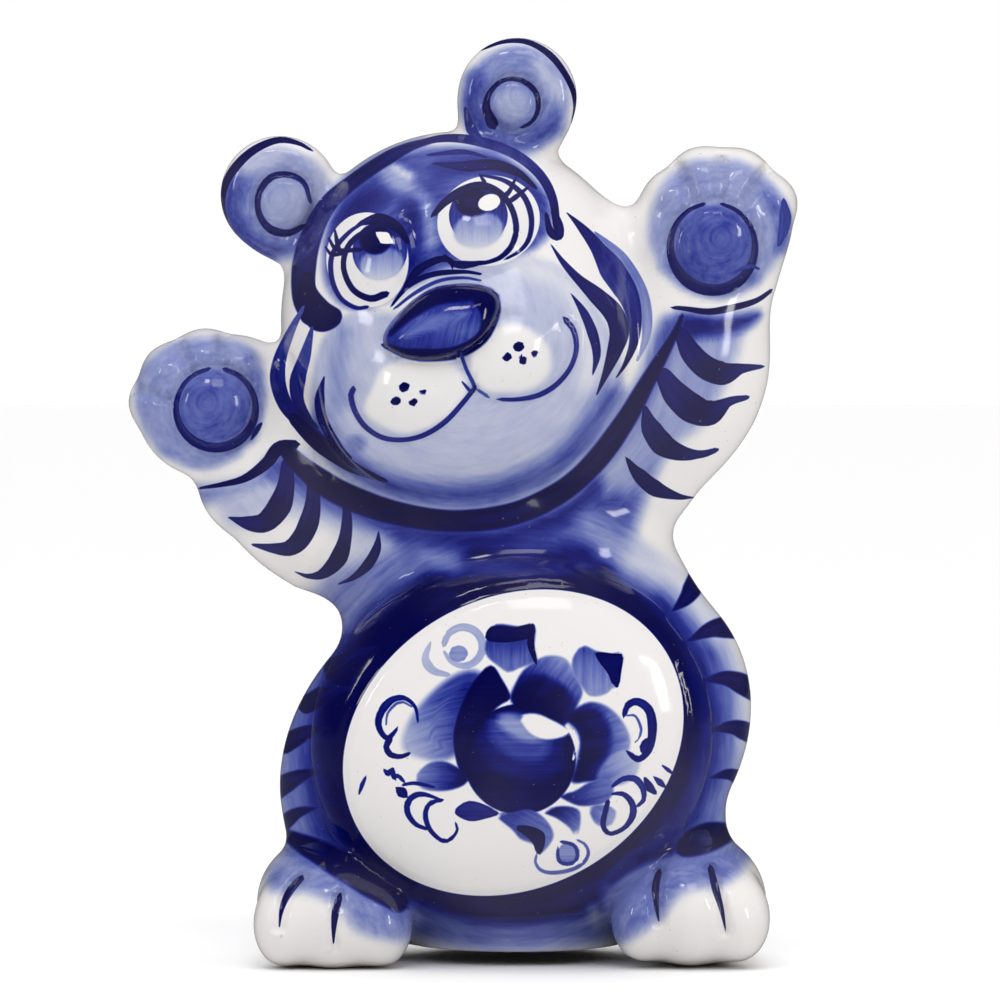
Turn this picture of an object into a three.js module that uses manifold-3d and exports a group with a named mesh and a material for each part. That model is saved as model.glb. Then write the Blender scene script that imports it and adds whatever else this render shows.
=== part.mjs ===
// Tiger cub money box: a hollow slip-cast porcelain figure that stands on its own two feet, with
// a coin slot in the back of the head and a rubber stopper in the emptying hole under the body.
// Millimetres, +Z up, the face looks along -Y, and the base is on z = 0.
import * as THREE from "three";
import { mergeVertices } from "three/addons/utils/BufferGeometryUtils.js";
import Module from "manifold-3d";

const wasm = await Module();
wasm.setup();

// Overall sizes. The figure is laid out in percent of them, so it keeps its proportions.
const HEIGHT = 155; // feet to the top of the higher ear
const DEPTH = 56; // belly to back

// Sizes that stay the same whatever the figure's size is.
const WALL = 4; // porcelain thickness around the hollow
const SLOT_LENGTH = 34; // takes a coin of up to 30 mm
const SLOT_WIDTH = 5.6;
const HOLE_RADIUS = 13; // emptying hole, a 25 mm coin falls through it
const STEM_CLEARANCE = 0.4; // radial gap between the stopper's stem and the hole
const SEAT_GAP = 0.3; // gap between the stopper's flange and its seat
const FLANGE_LAP = 2.6; // how far the flange reaches past the hole
const FLANGE_THICKNESS = 2;
const FLANGE_BEVEL = 0.6;
const BOSS_LIFT = 2.4; // the porcelain rim round the stopper, above the surface it stands on
const FLANGE_INSET = 0.8; // how far the stopper sits up inside that rim
const RECESS_CLEARANCE = 0.5; // radial gap round the stopper's flange
const RIM_WIDTH = 2; // width of the porcelain rim round the recess
const STEM_HEIGHT = 7;
const STEM_WALL = 2.4;
const STEM_TAPER = 0.8;
const NECK_GAP = 0.3; // between the upper and the lower half of the porcelain

const FLANGE_LOW = BOSS_LIFT + FLANGE_INSET;
const SEAT_Z = FLANGE_LOW + FLANGE_THICKNESS + SEAT_GAP;
const FLANGE_RADIUS = HOLE_RADIUS + FLANGE_LAP;
const RECESS_RADIUS = FLANGE_RADIUS + RECESS_CLEARANCE;
const BOSS_RADIUS = RECESS_RADIUS + RIM_WIDTH;

const across = (percent) => (percent * HEIGHT) / 100; // x, z and the radii along them
const deep = (percent) => (percent * DEPTH) / 100; // y and the radii along it
const degrees = (angle) => (angle * Math.PI) / 180;

// Rounded masses: at [x, y, z] and radii [x, y, z] in percent, tilt in degrees about Y.
const HEAD_TILT = 20;
const HEAD = { at: [0.6, 4, 68.5], radii: [20.2, 42, 21.5], tilt: HEAD_TILT };
const CHEST = { at: [5.1, 4, 40.8], radii: [20.1, 36, 16.3], tilt: -23 };
const TORSO = { at: [5.8, 5, 23.1], radii: [26.6, 45, 20.3], tilt: 24 };
const HIPS = { at: [5.5, 4, 13.2], radii: [23.2, 41, 11.4], tilt: 0 };
const HOLLOWED = [HEAD, CHEST, TORSO, HIPS];

const MUZZLE = { at: [1, -22, 64.6], radii: [15.4, 24, 12.2], tilt: HEAD_TILT };
const NOSE = { at: [-2.4, -43, 69.3], radii: [6.3, 7, 3.3], tilt: HEAD_TILT };
const BELLY = { at: [5.4, -28, 24], radii: [19, 22, 16.8], tilt: 9 };
const SMALL_MASSES = [MUZZLE, NOSE, BELLY];

// Discs and balls: at [x, y, z] and radius in percent, depth radius in percent of DEPTH.
const EARS = [
  { at: [-19.9, 4, 82.7], radius: 6.7, depth: 12 },
  { at: [5.8, 4, 93.3], radius: 6.7, depth: 12 },
];
const EAR_DISH = { radius: 0.52, depth: 0.4, lowered: 0.16 }; // over the ear's own radii
const PAWS = [
  { at: [-27.7, 2, 60.1], radius: 8.2, depth: 19 },
  { at: [27.9, 2, 80.2], radius: 8.2, depth: 19 },
];
const PAD = { radius: 0.55, depth: 0.5, forward: 14 }; // over the paw's own radii
const PAW_TOES = { radius: 0.34, ring: 0.74, depth: 0.62, turns: [-62, -22, 18, 58] };
const PAW_LEANS = [42, -26]; // where each paw points, degrees from straight up

// Arms: tapered limbs between two balls, flattened front to back.
const ARMS = [
  { from: [-21.9, 2, 52.3], to: [-14.8, 3, 47.9], radii: [7, 7.9], flat: 0.86 },
  { from: [24.8, 3, 75], to: [21.2, 3, 61.8], radii: [9.4, 10.3], flat: 0.68 },
  { from: [21.2, 3, 65], to: [13.2, 3, 53.4], radii: [12, 11.4], flat: 0.62 },
  { from: [13.7, 3, 75.2], to: [16, 3, 68], radii: [6.9, 9], flat: 0.7 },
];

// Feet: long ovals pushed forward, with three toes each, cut flat by the floor.
const FEET = [
  { at: [-14.4, -9, 6.2], radii: [8.5, 39, 8.2], tilt: -12 },
  { at: [24.4, -9, 7], radii: [8.3, 39, 8.6], tilt: -14 },
];
const TOES = { radii: [3.4, 11, 4.6], ring: 0.62, forward: -30, drop: 1.5, turns: [-1, 0, 1] };

const BALL_SIDES = 20;
const SMALL_SIDES = 12;
const HOLE_SIDES = 44;

// The upper and the lower half of the porcelain meet at this height, in percent of HEIGHT.
const NECK_AT = 54;

// The emptying hole's seat is a short round boss under the body, between the feet.
const HOLE_X = across(TORSO.at[0]);
const HOLE_Y = deep(TORSO.at[1]);
const BOSS_TOP = SEAT_Z + WALL + deep(12);

// A three.js geometry as a manifold solid.
function solid(geometry) {
  const bare = geometry.index ? geometry.toNonIndexed() : geometry.clone();
  bare.deleteAttribute("normal");
  bare.deleteAttribute("uv");
  const merged = mergeVertices(bare, 1e-4);
  return new wasm.Manifold(
    new wasm.Mesh({
      numProp: 3,
      vertProperties: new Float32Array(merged.attributes.position.array),
      triVerts: new Uint32Array(merged.index.array),
    }),
  );
}

// A manifold solid as a three.js geometry.
function geometryOf(shape) {
  const mesh = shape.getMesh();
  return new THREE.BufferGeometry()
    .setAttribute("position", new THREE.BufferAttribute(mesh.vertProperties, 3))
    .setIndex(new THREE.BufferAttribute(mesh.triVerts, 1));
}

const joined = (shapes) => shapes.reduce((whole, shape) => whole.add(shape));

// An ellipsoid in millimetres, turned about Y. `shrink` is taken off every radius.
function oval(at, radii, tilt, sides, shrink = 0) {
  const ball = new THREE.SphereGeometry(1, sides, Math.round(sides * 0.6));
  ball.rotateX(Math.PI / 2);
  ball.scale(radii[0] - shrink, radii[1] - shrink, radii[2] - shrink);
  ball.rotateY(degrees(-tilt));
  ball.translate(at[0], at[1], at[2]);
  return solid(ball);
}

const placed = ([x, y, z]) => [across(x), deep(y), across(z)];

function mass({ at, radii, tilt }, shrink = 0, sides = BALL_SIDES) {
  const size = [across(radii[0]), deep(radii[1]), across(radii[2])];
  return oval(placed(at), size, tilt, sides, shrink);
}

// A tapered limb with a round end at both points, flattened along Y.
function limb({ from, to, radii, flat }) {
  const start = new THREE.Vector3(...placed(from));
  const end = new THREE.Vector3(...placed(to));
  const length = start.distanceTo(end);
  const low = across(radii[0]);
  const high = across(radii[1]);
  const lean = Math.asin((low - high) / length);
  const profile = [];
  for (let i = 0; i <= 5; i++) {
    const turn = -Math.PI / 2 + ((Math.PI / 2 + lean) * i) / 5;
    profile.push(new THREE.Vector2(low * Math.cos(turn), low * Math.sin(turn)));
  }
  for (let i = 0; i <= 5; i++) {
    const turn = lean + ((Math.PI / 2 - lean) * i) / 5;
    profile.push(new THREE.Vector2(high * Math.cos(turn), length + high * Math.sin(turn)));
  }
  profile[0].x = 0;
  profile[profile.length - 1].x = 0;
  const body = new THREE.LatheGeometry(profile, BALL_SIDES);
  body.scale(1, 1, flat);
  const up = end.clone().sub(start).normalize();
  const back = new THREE.Vector3(0, 1, 0).addScaledVector(up, -up.y).normalize();
  const side = new THREE.Vector3().crossVectors(up, back);
  body.applyMatrix4(new THREE.Matrix4().makeBasis(side, up, back).setPosition(start));
  return solid(body);
}

// A solid of revolution from [radius, height] pairs, about the emptying hole's upright axis.
function turned(pairs) {
  const profile = pairs.map(([radius, height]) => new THREE.Vector2(radius, height));
  const body = new THREE.LatheGeometry(profile, HOLE_SIDES);
  body.rotateX(Math.PI / 2);
  body.translate(HOLE_X, HOLE_Y, 0);
  return solid(body);
}

const disc = (radius, low, high) => turned([[0, low], [radius, low], [radius, high], [0, high]]);

function ear({ at, radius, depth }) {
  const place = placed(at);
  const r = across(radius);
  const y = deep(depth);
  const disc = oval(place, [r, y, r], 0, BALL_SIDES);
  const dishAt = [place[0], place[1] - y, place[2] - r * EAR_DISH.lowered];
  const dishRadii = [r * EAR_DISH.radius, y * EAR_DISH.depth, r * EAR_DISH.radius];
  const dish = oval(dishAt, dishRadii, 0, SMALL_SIDES);
  return disc.subtract(dish);
}

function paw({ at, radius, depth }, lean) {
  const [x, y, z] = placed(at);
  const r = across(radius);
  const d = deep(depth);
  const toes = PAW_TOES.turns.map((turn) => {
    const a = degrees(lean + turn);
    const centre = [x - Math.sin(a) * r * PAW_TOES.ring, y, z + Math.cos(a) * r * PAW_TOES.ring];
    const t = r * PAW_TOES.radius;
    return oval(centre, [t, d * PAW_TOES.depth, t], 0, SMALL_SIDES);
  });
  const pad = [r * PAD.radius, d * PAD.depth, r * PAD.radius];
  return joined([
    oval([x, y, z], [r, d, r], 0, BALL_SIDES),
    oval([x, y - deep(PAD.forward), z], pad, 0, SMALL_SIDES),
    ...toes,
  ]);
}

function foot({ at, radii, tilt }) {
  const toes = TOES.turns.map((turn) => {
    const toeAt = [at[0] + turn * radii[0] * TOES.ring, TOES.forward, at[2] - TOES.drop];
    return mass({ at: toeAt, radii: TOES.radii, tilt: 0 }, 0, SMALL_SIDES);
  });
  return joined([mass({ at, radii, tilt }), ...toes]);
}

const outside = joined([
  ...HOLLOWED.map((shape) => mass(shape)),
  ...SMALL_MASSES.map((shape) => mass(shape)),
  ...EARS.map(ear),
  ...PAWS.map((shape, i) => paw(shape, PAW_LEANS[i])),
  ...ARMS.map(limb),
  ...FEET.map(foot),
  disc(BOSS_RADIUS, BOSS_LIFT, BOSS_TOP),
]);

const below = new THREE.BoxGeometry(2 * HEIGHT, 2 * HEIGHT, HEIGHT);
below.translate(0, 0, -HEIGHT / 2);

const hollow = joined(HOLLOWED.map((shape) => mass(shape, WALL)));

const BELOW_FLOOR = -1;
const hole = disc(HOLE_RADIUS, BELOW_FLOOR, BOSS_TOP + WALL);

// The recess under the seat where the stopper's flange sits.
const recess = disc(RECESS_RADIUS, BELOW_FLOOR, SEAT_Z);

// The coin slot: a round-ended opening through the back of the head.
function slot() {
  const half = (SLOT_LENGTH - SLOT_WIDTH) / 2;
  const outline = new THREE.Shape();
  outline.absarc(half, 0, SLOT_WIDTH / 2, -Math.PI / 2, Math.PI / 2, false);
  outline.absarc(-half, 0, SLOT_WIDTH / 2, Math.PI / 2, (3 * Math.PI) / 2, false);
  const depth = deep(HEAD.radii[1]) + WALL;
  const body = new THREE.ExtrudeGeometry(outline, { depth, bevelEnabled: false, curveSegments: 6 });
  body.rotateX(-Math.PI / 2);
  body.translate(across(HEAD.at[0]), deep(HEAD.at[1]), across(HEAD.at[2]));
  return solid(body);
}

const shell = outside
  .subtract(solid(below))
  .subtract(hollow)
  .subtract(hole)
  .subtract(recess)
  .subtract(slot());

// The porcelain in two halves, one above and one below a level plane through the neck.
const neck = across(NECK_AT);
const upper = shell.trimByPlane([0, 0, 1], neck + NECK_GAP / 2);
const lower = shell.trimByPlane([0, 0, -1], NECK_GAP / 2 - neck);

// The stopper: a soft flanged plug with a cupped stem.
const STEM_RADIUS = HOLE_RADIUS - STEM_CLEARANCE;
const FLANGE_TOP = FLANGE_LOW + FLANGE_THICKNESS;
const STEM_TOP = FLANGE_TOP + STEM_HEIGHT;
const CUP_RADIUS = STEM_RADIUS - STEM_TAPER - STEM_WALL;
const plug = turned([
  [0, FLANGE_LOW],
  [FLANGE_RADIUS - FLANGE_BEVEL, FLANGE_LOW],
  [FLANGE_RADIUS, FLANGE_LOW + FLANGE_BEVEL],
  [FLANGE_RADIUS, FLANGE_TOP],
  [STEM_RADIUS, FLANGE_TOP],
  [STEM_RADIUS - STEM_TAPER, STEM_TOP],
  [CUP_RADIUS, STEM_TOP],
  [CUP_RADIUS, FLANGE_TOP],
  [0, FLANGE_TOP],
]);

const bounds = shell.boundingBox();
const middle = [0, 1].map((i) => -(bounds.min[i] + bounds.max[i]) / 2);

function node(name, shape, colour, roughness) {
  const material = new THREE.MeshStandardMaterial({ color: colour, roughness, metalness: 0 });
  const mesh = new THREE.Mesh(geometryOf(shape.translate([middle[0], middle[1], 0])), material);
  mesh.name = name;
  return mesh;
}

const figure = new THREE.Group();
figure.name = "tiger_cub_money_box";
figure.add(node("porcelain_head", upper, 0xe9e6ee, 0.08));
figure.add(node("porcelain_body", lower, 0xe9e6ee, 0.08));
figure.add(node("stopper", plug, 0x2b2b2d, 0.7));

export default figure;
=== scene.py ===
"""Looks of the tiger cub money box: glazed porcelain with cobalt brush painting.

The figure is one hollow porcelain shell and one rubber stopper. The shell is the zero
surface of a field: rounded masses run together, a low relief added to the front, and the
hollow, the coin slot and the emptying hole taken out. The painting is a list of brush
strokes, filled shapes and soft washes on that surface.

All design sizes are millimetres on a figure of DESIGN_HEIGHT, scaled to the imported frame.
Angles are degrees. Ink runs from 0, bare porcelain, to 1, near black.
"""
from __future__ import annotations

import logging
import math
from collections.abc import Callable
from dataclasses import dataclass, field
from enum import Enum
from typing import Union

import bpy
import numpy as np
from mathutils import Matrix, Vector


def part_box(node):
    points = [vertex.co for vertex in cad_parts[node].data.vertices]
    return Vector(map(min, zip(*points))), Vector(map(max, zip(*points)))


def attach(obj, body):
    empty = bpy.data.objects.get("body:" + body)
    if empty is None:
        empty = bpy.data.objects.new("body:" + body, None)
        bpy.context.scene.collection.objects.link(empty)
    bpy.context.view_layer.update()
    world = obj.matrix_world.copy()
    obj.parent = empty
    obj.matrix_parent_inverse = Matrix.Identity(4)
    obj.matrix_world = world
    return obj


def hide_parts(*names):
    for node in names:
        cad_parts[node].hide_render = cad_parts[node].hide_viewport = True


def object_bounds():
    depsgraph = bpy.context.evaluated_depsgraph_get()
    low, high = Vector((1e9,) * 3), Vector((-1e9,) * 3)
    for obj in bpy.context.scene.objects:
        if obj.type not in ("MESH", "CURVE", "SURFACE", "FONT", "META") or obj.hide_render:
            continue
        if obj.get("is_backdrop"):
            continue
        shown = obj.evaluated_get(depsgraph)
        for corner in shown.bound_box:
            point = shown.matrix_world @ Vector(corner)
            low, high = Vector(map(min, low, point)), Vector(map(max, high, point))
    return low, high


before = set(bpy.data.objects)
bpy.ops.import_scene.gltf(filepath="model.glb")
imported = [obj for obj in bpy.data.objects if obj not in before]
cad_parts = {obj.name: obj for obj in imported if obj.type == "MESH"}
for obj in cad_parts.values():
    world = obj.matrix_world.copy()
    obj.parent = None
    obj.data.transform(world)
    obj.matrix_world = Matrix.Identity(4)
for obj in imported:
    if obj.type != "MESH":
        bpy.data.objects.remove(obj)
LOG = logging.getLogger("money_box")

DESIGN_HEIGHT = 155.0
PARTING_Y = 2.2  # plane between the front and the back half of the mould
HEAD_TILT = 20.0  # degrees that the head leans to the left
VIEW_LIFT = 3.0  # degrees that the painter looks down on the figure
VIEW_RISE = 0.6  # added to heights in the painter's upright plane
CRISP = 0.1  # a crisp painted edge runs this far to either side of its line
TURN_BACK = 12.0  # how far behind the parting plane the front painting still runs, fading
STREAK_PITCH = 0.09  # how fast bristle streaks change along a mark, against across it
TINY = 1e-6  # keeps lengths from being nought where they divide
LEVEL = 1e-9  # a rise below this counts as level

Place = tuple[float, float, float]
Spots = tuple[tuple[float, float], ...]
Field = Callable[[np.ndarray], np.ndarray]
Source = Union[bpy.types.NodeSocket, float, tuple]


class Side(Enum):
    """Half of the figure that a mark is painted on."""

    FRONT = "front"
    BACK = "back"


def painter_plane(p: np.ndarray) -> np.ndarray:
    """Places on the upright plane that faces the painter.

    The first coordinate is x. The second is z cos(lift) + y sin(lift) + rise.

    Args:
        p: points, one row each.

    Returns:
        Two coordinates per point.
    """
    lift = math.radians(VIEW_LIFT)
    v = p[:, 2] * math.cos(lift) + p[:, 1] * math.sin(lift) + VIEW_RISE
    return np.stack([p[:, 0], v], 1)


def smooth_step(t: np.ndarray) -> np.ndarray:
    """3 t^2 - 2 t^3 with t held between 0 and 1."""
    t = np.clip(t, 0.0, 1.0)
    return t * t * (3.0 - 2.0 * t)


# ------------------------------------------------------------------ fields
def soft_min(a: np.ndarray, b: np.ndarray, k: float) -> np.ndarray:
    """Smaller of two fields, rounded where they meet over a width k.

    Args:
        a: first field.
        b: second field.
        k: blend width in millimetres.

    Returns:
        min(a, b) less a quarter of the squared overlap over k.
    """
    h = np.maximum(k - np.abs(a - b), 0.0) / k
    return np.minimum(a, b) - h * h * k * 0.25


def soft_max(a: np.ndarray, b: np.ndarray, k: float) -> np.ndarray:
    """Larger of two fields, rounded the same way as soft_min."""
    return -soft_min(-a, -b, k)


@dataclass(frozen=True)
class Oval:
    """An ellipsoid turned about Y. Sizes in millimetres, tilt in degrees."""

    at: Place
    radii: Place
    tilt: float = 0.0
    blend: float = 4.0

    def distance(self, p: np.ndarray, shrink: float = 0.0) -> np.ndarray:
        """Signed distance, about exact near the surface: k0 (k0 - 1) / k1 with
        k0 the length of p over the radii and k1 that of p over the radii squared.

        Args:
            p: points, one row each.
            shrink: taken off every radius.

        Returns:
            One distance per point, negative inside.
        """
        turn = math.radians(self.tilt)
        c, s = math.cos(turn), math.sin(turn)
        x, y, z = p[:, 0] - self.at[0], p[:, 1] - self.at[1], p[:, 2] - self.at[2]
        u, w = c * x + s * z, c * z - s * x
        a, b, d = (r - shrink for r in self.radii)
        u, y, w = u / a, y / b, w / d
        k0 = np.sqrt(u * u + y * y + w * w)
        k1 = np.sqrt((u / a) ** 2 + (y / b) ** 2 + (w / d) ** 2)
        return k0 * (k0 - 1.0) / np.maximum(k1, TINY)


@dataclass(frozen=True)
class Limb:
    """A tapered limb between two balls, flattened along Y by flat."""

    STEEPEST = 1e-4  # least squared cosine of the taper

    start: Place
    end: Place
    radii: tuple[float, float]
    flat: float = 0.8
    blend: float = 4.0

    def distance(self, p: np.ndarray) -> np.ndarray:
        """Signed distance: the point's distance from the nearest place on the
        limb's axis, less the radius there, over the slope that flattening adds.

        Args:
            p: points, one row each.

        Returns:
            One distance per point, negative inside.
        """
        a = np.array(self.start, np.float32)
        b = np.array(self.end, np.float32)
        squash = np.array([1.0, self.flat, 1.0], np.float32)
        q, axis = (p - a) / squash, (b - a) / squash
        length = float(np.linalg.norm(axis))
        axis = axis / length
        along = q @ axis
        off = np.sqrt(np.maximum((q * q).sum(1) - along * along, 0.0))
        slope = (self.radii[0] - self.radii[1]) / length
        side = math.sqrt(max(1.0 - slope * slope, self.STEEPEST))
        t = np.clip((along + off * slope / side) / length, 0.0, 1.0)
        away = q - t[:, None] * axis * length
        reach = np.sqrt((away * away).sum(1)) + TINY
        n = away / reach[:, None]
        grade = np.sqrt(n[:, 0] ** 2 + (n[:, 1] / self.flat) ** 2 + n[:, 2] ** 2)
        return (reach - self.radii[0] - (self.radii[1] - self.radii[0]) * t) / grade


Mass = Union[Oval, Limb]


def fused(shapes: list[Mass], p: np.ndarray) -> np.ndarray:
    """All shapes run together by soft_min, each with its own blend width.

    Args:
        shapes: ovals and limbs.
        p: points, one row each.

    Returns:
        One distance per point, negative inside.
    """
    whole = shapes[0].distance(p)
    for shape in shapes[1:]:
        whole = soft_min(whole, shape.distance(p), shape.blend)
    return whole


def surface_net(
    distance: Field, low: np.ndarray, high: np.ndarray, step: float
) -> tuple[np.ndarray, np.ndarray]:
    """Surface of a field by surface nets.

    A vertex is the mean of the places where the field changes sign along the edges
    of one grid cell, and each such edge gives the quad that joins its four cells.

    Args:
        distance: field as a function of points.
        low: lowest corner of the grid.
        high: highest corner.
        step: grid spacing.

    Returns:
        Vertices, one row each, and quads as vertex numbers.
    """
    axes = [np.arange(low[i], high[i] + step, step, dtype=np.float32) for i in range(3)]
    shape = tuple(len(a) for a in axes)
    values = np.empty(shape, np.float32)
    yy, zz = np.meshgrid(axes[1], axes[2], indexing="ij")
    slab = 12  # grid layers worked out at a time
    for i in range(0, shape[0], slab):
        xs = axes[0][i : i + slab]
        p = np.empty((len(xs),) + yy.shape + (3,), np.float32)
        p[..., 0], p[..., 1], p[..., 2] = xs[:, None, None], yy, zz
        values[i : i + slab] = distance(p.reshape(-1, 3)).reshape(p.shape[:3])
    inside = values < 0
    cells = tuple(n - 1 for n in shape)
    total = int(np.prod(cells))
    sums, count, quads = np.zeros((total, 3)), np.zeros(total), []
    for axis in range(3):
        near = [slice(None)] * 3
        far = [slice(None)] * 3
        near[axis], far[axis] = slice(0, -1), slice(1, None)
        crossing = inside[tuple(near)] != inside[tuple(far)]
        ijk = np.argwhere(crossing)
        others = [o for o in range(3) if o != axis]
        ok = np.all([(ijk[:, o] > 0) & (ijk[:, o] < cells[o]) for o in others], axis=0)
        ijk = ijk[ok]
        end = ijk.copy()
        end[:, axis] += 1
        v0, v1 = values[tuple(ijk.T)], values[tuple(end.T)]
        place = np.stack([axes[i][ijk[:, i]] for i in range(3)], 1).astype(float)
        place[:, axis] += step * v0 / (v0 - v1)
        o1, o2 = others
        corners = []
        for d1, d2 in ((-1, -1), (0, -1), (0, 0), (-1, 0)):
            cell = ijk.copy()
            cell[:, o1] += d1
            cell[:, o2] += d2
            number = np.ravel_multi_index(tuple(cell.T), cells)
            corners.append(number)
            for i in range(3):
                sums[:, i] += np.bincount(number, place[:, i], total)
            count += np.bincount(number, minlength=total)
        quad = np.stack(corners, 1)
        # seen from +X or +Z the corners run anticlockwise, but clockwise from +Y
        out = (v0 < 0) if axis != 1 else (v0 >= 0)
        quad[~out] = quad[~out][:, ::-1]
        quads.append(quad)
    used = np.flatnonzero(count)
    renumber = np.zeros(total, np.int64)
    renumber[used] = np.arange(len(used))
    return sums[used] / count[used][:, None], renumber[np.concatenate(quads)]


def settle(distance: Field, p: np.ndarray, rounds: int) -> tuple[np.ndarray, np.ndarray]:
    """Moves points onto the field's zero surface along its slope.

    Args:
        distance: field as a function of points.
        p: points near the surface.
        rounds: number of Newton steps.

    Returns:
        The points and their unit normals.
    """
    feel = 0.05  # the slope is felt this far to either side
    flattest = 0.05  # least squared slope that a step divides by
    longest = 1.0  # and the longest distance that it makes up for
    sides = feel * np.eye(3, dtype=p.dtype)
    for step in range(rounds + 1):
        slope = np.stack([distance(p + side) - distance(p - side) for side in sides], 1)
        slope = slope / (2 * feel)
        size = np.maximum((slope * slope).sum(1), flattest)
        if step < rounds:
            far = np.clip(distance(p), -longest, longest)
            p = p - slope * far[:, None] / size[:, None]
    return p, slope / np.sqrt(size)[:, None]


def mesh_piece(
    name: str, points: np.ndarray, faces: np.ndarray, normals: np.ndarray, scale: float
) -> bpy.types.Object:
    """Mesh object from arrays, shaded smooth by the given normals.

    Args:
        name: the piece's name.
        points: points in design millimetres.
        faces: four point numbers per face.
        normals: outward directions at the points.
        scale: metres per design millimetre.

    Returns:
        The new object, in the scene.
    """
    mesh = bpy.data.meshes.new(name)
    mesh.from_pydata((points * scale).tolist(), [], faces.tolist())
    mesh.polygons.foreach_set("use_smooth", np.ones(len(mesh.polygons), bool))
    mesh.update()
    mesh.normals_split_custom_set_from_vertices(normals.astype(float).tolist())
    piece = bpy.data.objects.new(name, mesh)
    bpy.context.scene.collection.objects.link(piece)
    return piece


# ------------------------------------------------------------------ curves
def flowing(points: Spots, closed: bool = False, steps: int = 8) -> np.ndarray:
    """Dense points on a Catmull-Rom curve through a few given ones.

    Between p1 and p2 the curve is half of 2 p1 + (p2 - p0) t +
    (2 p0 - 5 p1 + 4 p2 - p3) t^2 + (3 p1 - p0 - 3 p2 + p3) t^3.

    Args:
        points: the given points.
        closed: whether the curve runs back to its start.
        steps: dense points for each given one.

    Returns:
        Dense points, one row each.
    """
    p = np.array(points, float)
    if closed:
        p = np.concatenate([p[-1:], p, p[:2]])
    else:
        p = np.concatenate([2 * p[:1] - p[1:2], p, 2 * p[-1:] - p[-2:-1]])
    t = (np.arange(steps) / steps)[None, :, None]
    a, b, c, d = (p[i : len(p) - 3 + i, None, :] for i in range(4))
    body = 0.5 * (
        2 * b + (c - a) * t + (2 * a - 5 * b + 4 * c - d) * t**2 + (3 * b - a - 3 * c + d) * t**3
    )
    return np.concatenate([body.reshape(-1, 2), p[-2:-1]])


def ring(x: float, v: float, a: float, b: float, tilt: float = 0.0, count: int = 14) -> Spots:
    """Points round an oval: a cos t along its tilted axis and b sin t across it.

    Args:
        x: middle, across.
        v: middle, upwards.
        a: radius along the tilted axis.
        b: radius across it.
        tilt: degrees that the axis leans from level.
        count: number of points.

    Returns:
        The points, evenly spaced in t, the first one only once.
    """
    t = np.arange(count) * 2 * math.pi / count
    c, s = math.cos(math.radians(tilt)), math.sin(math.radians(tilt))
    u, w = a * np.cos(t), b * np.sin(t)
    return tuple(zip((x + u * c - w * s).tolist(), (v + u * s + w * c).tolist()))


def hoop(x: float, v: float, a: float, b: float, tilt: float = 0.0) -> Spots:
    """The same points as ring gives, with the first one once more at the end.

    Args:
        x: middle, across.
        v: middle, upwards.
        a: radius along the tilted axis.
        b: radius across it.
        tilt: degrees that the axis leans from level.

    Returns:
        The points of a closed path.
    """
    around = ring(x, v, a, b, tilt)
    return around + around[:1]


def along_path(q: np.ndarray, path: np.ndarray) -> tuple[np.ndarray, ...]:
    """Where points lie beside a path.

    Each point is dropped onto every piece of the path, and the nearest foot is kept.

    Args:
        q: points, one row each.
        path: the path's points.

    Returns:
        Distance from the path, signed distance across it, and length along it.
    """
    a, ab = path[:-1], np.diff(path, axis=0)
    size = np.maximum(np.hypot(ab[:, 0], ab[:, 1]), TINY)
    start = np.concatenate([[0.0], np.cumsum(size)[:-1]])
    rel = q[:, None, :] - a[None]
    t = np.clip((rel * ab).sum(2) / size**2, 0.0, 1.0)
    gap = rel - t[..., None] * ab
    far = np.hypot(gap[..., 0], gap[..., 1])
    best = far.argmin(1)
    rows = np.arange(len(q))
    dist, t = far[rows, best], t[rows, best]
    rel = rel[rows, best]
    cross = (ab[best, 0] * rel[:, 1] - ab[best, 1] * rel[:, 0]) / size[best]
    end = ((best == 0) & (t <= 0)) | ((best == len(ab) - 1) & (t >= 1))
    across = np.where(end, cross, np.sign(cross) * dist)
    return dist, across, start[best] + t * size[best]


def inside_depth(q: np.ndarray, outline: np.ndarray) -> np.ndarray:
    """Distance from a closed outline, by counting its crossings to the right.

    Args:
        q: points, one row each.
        outline: the outline's points, the first one again at the end.

    Returns:
        One distance per point, positive inside.
    """
    dist = along_path(q, outline)[0]
    a, b = outline[:-1], outline[1:]
    x, v = q[:, :1], q[:, 1:]
    spans = (a[:, 1] > v) != (b[:, 1] > v)
    rise = np.where(np.abs(b[:, 1] - a[:, 1]) < LEVEL, LEVEL, b[:, 1] - a[:, 1])
    hits = spans & (x < (b[:, 0] - a[:, 0]) * (v - a[:, 1]) / rise + a[:, 0])
    return np.where(hits.sum(1) % 2 == 1, dist, -dist)


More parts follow.
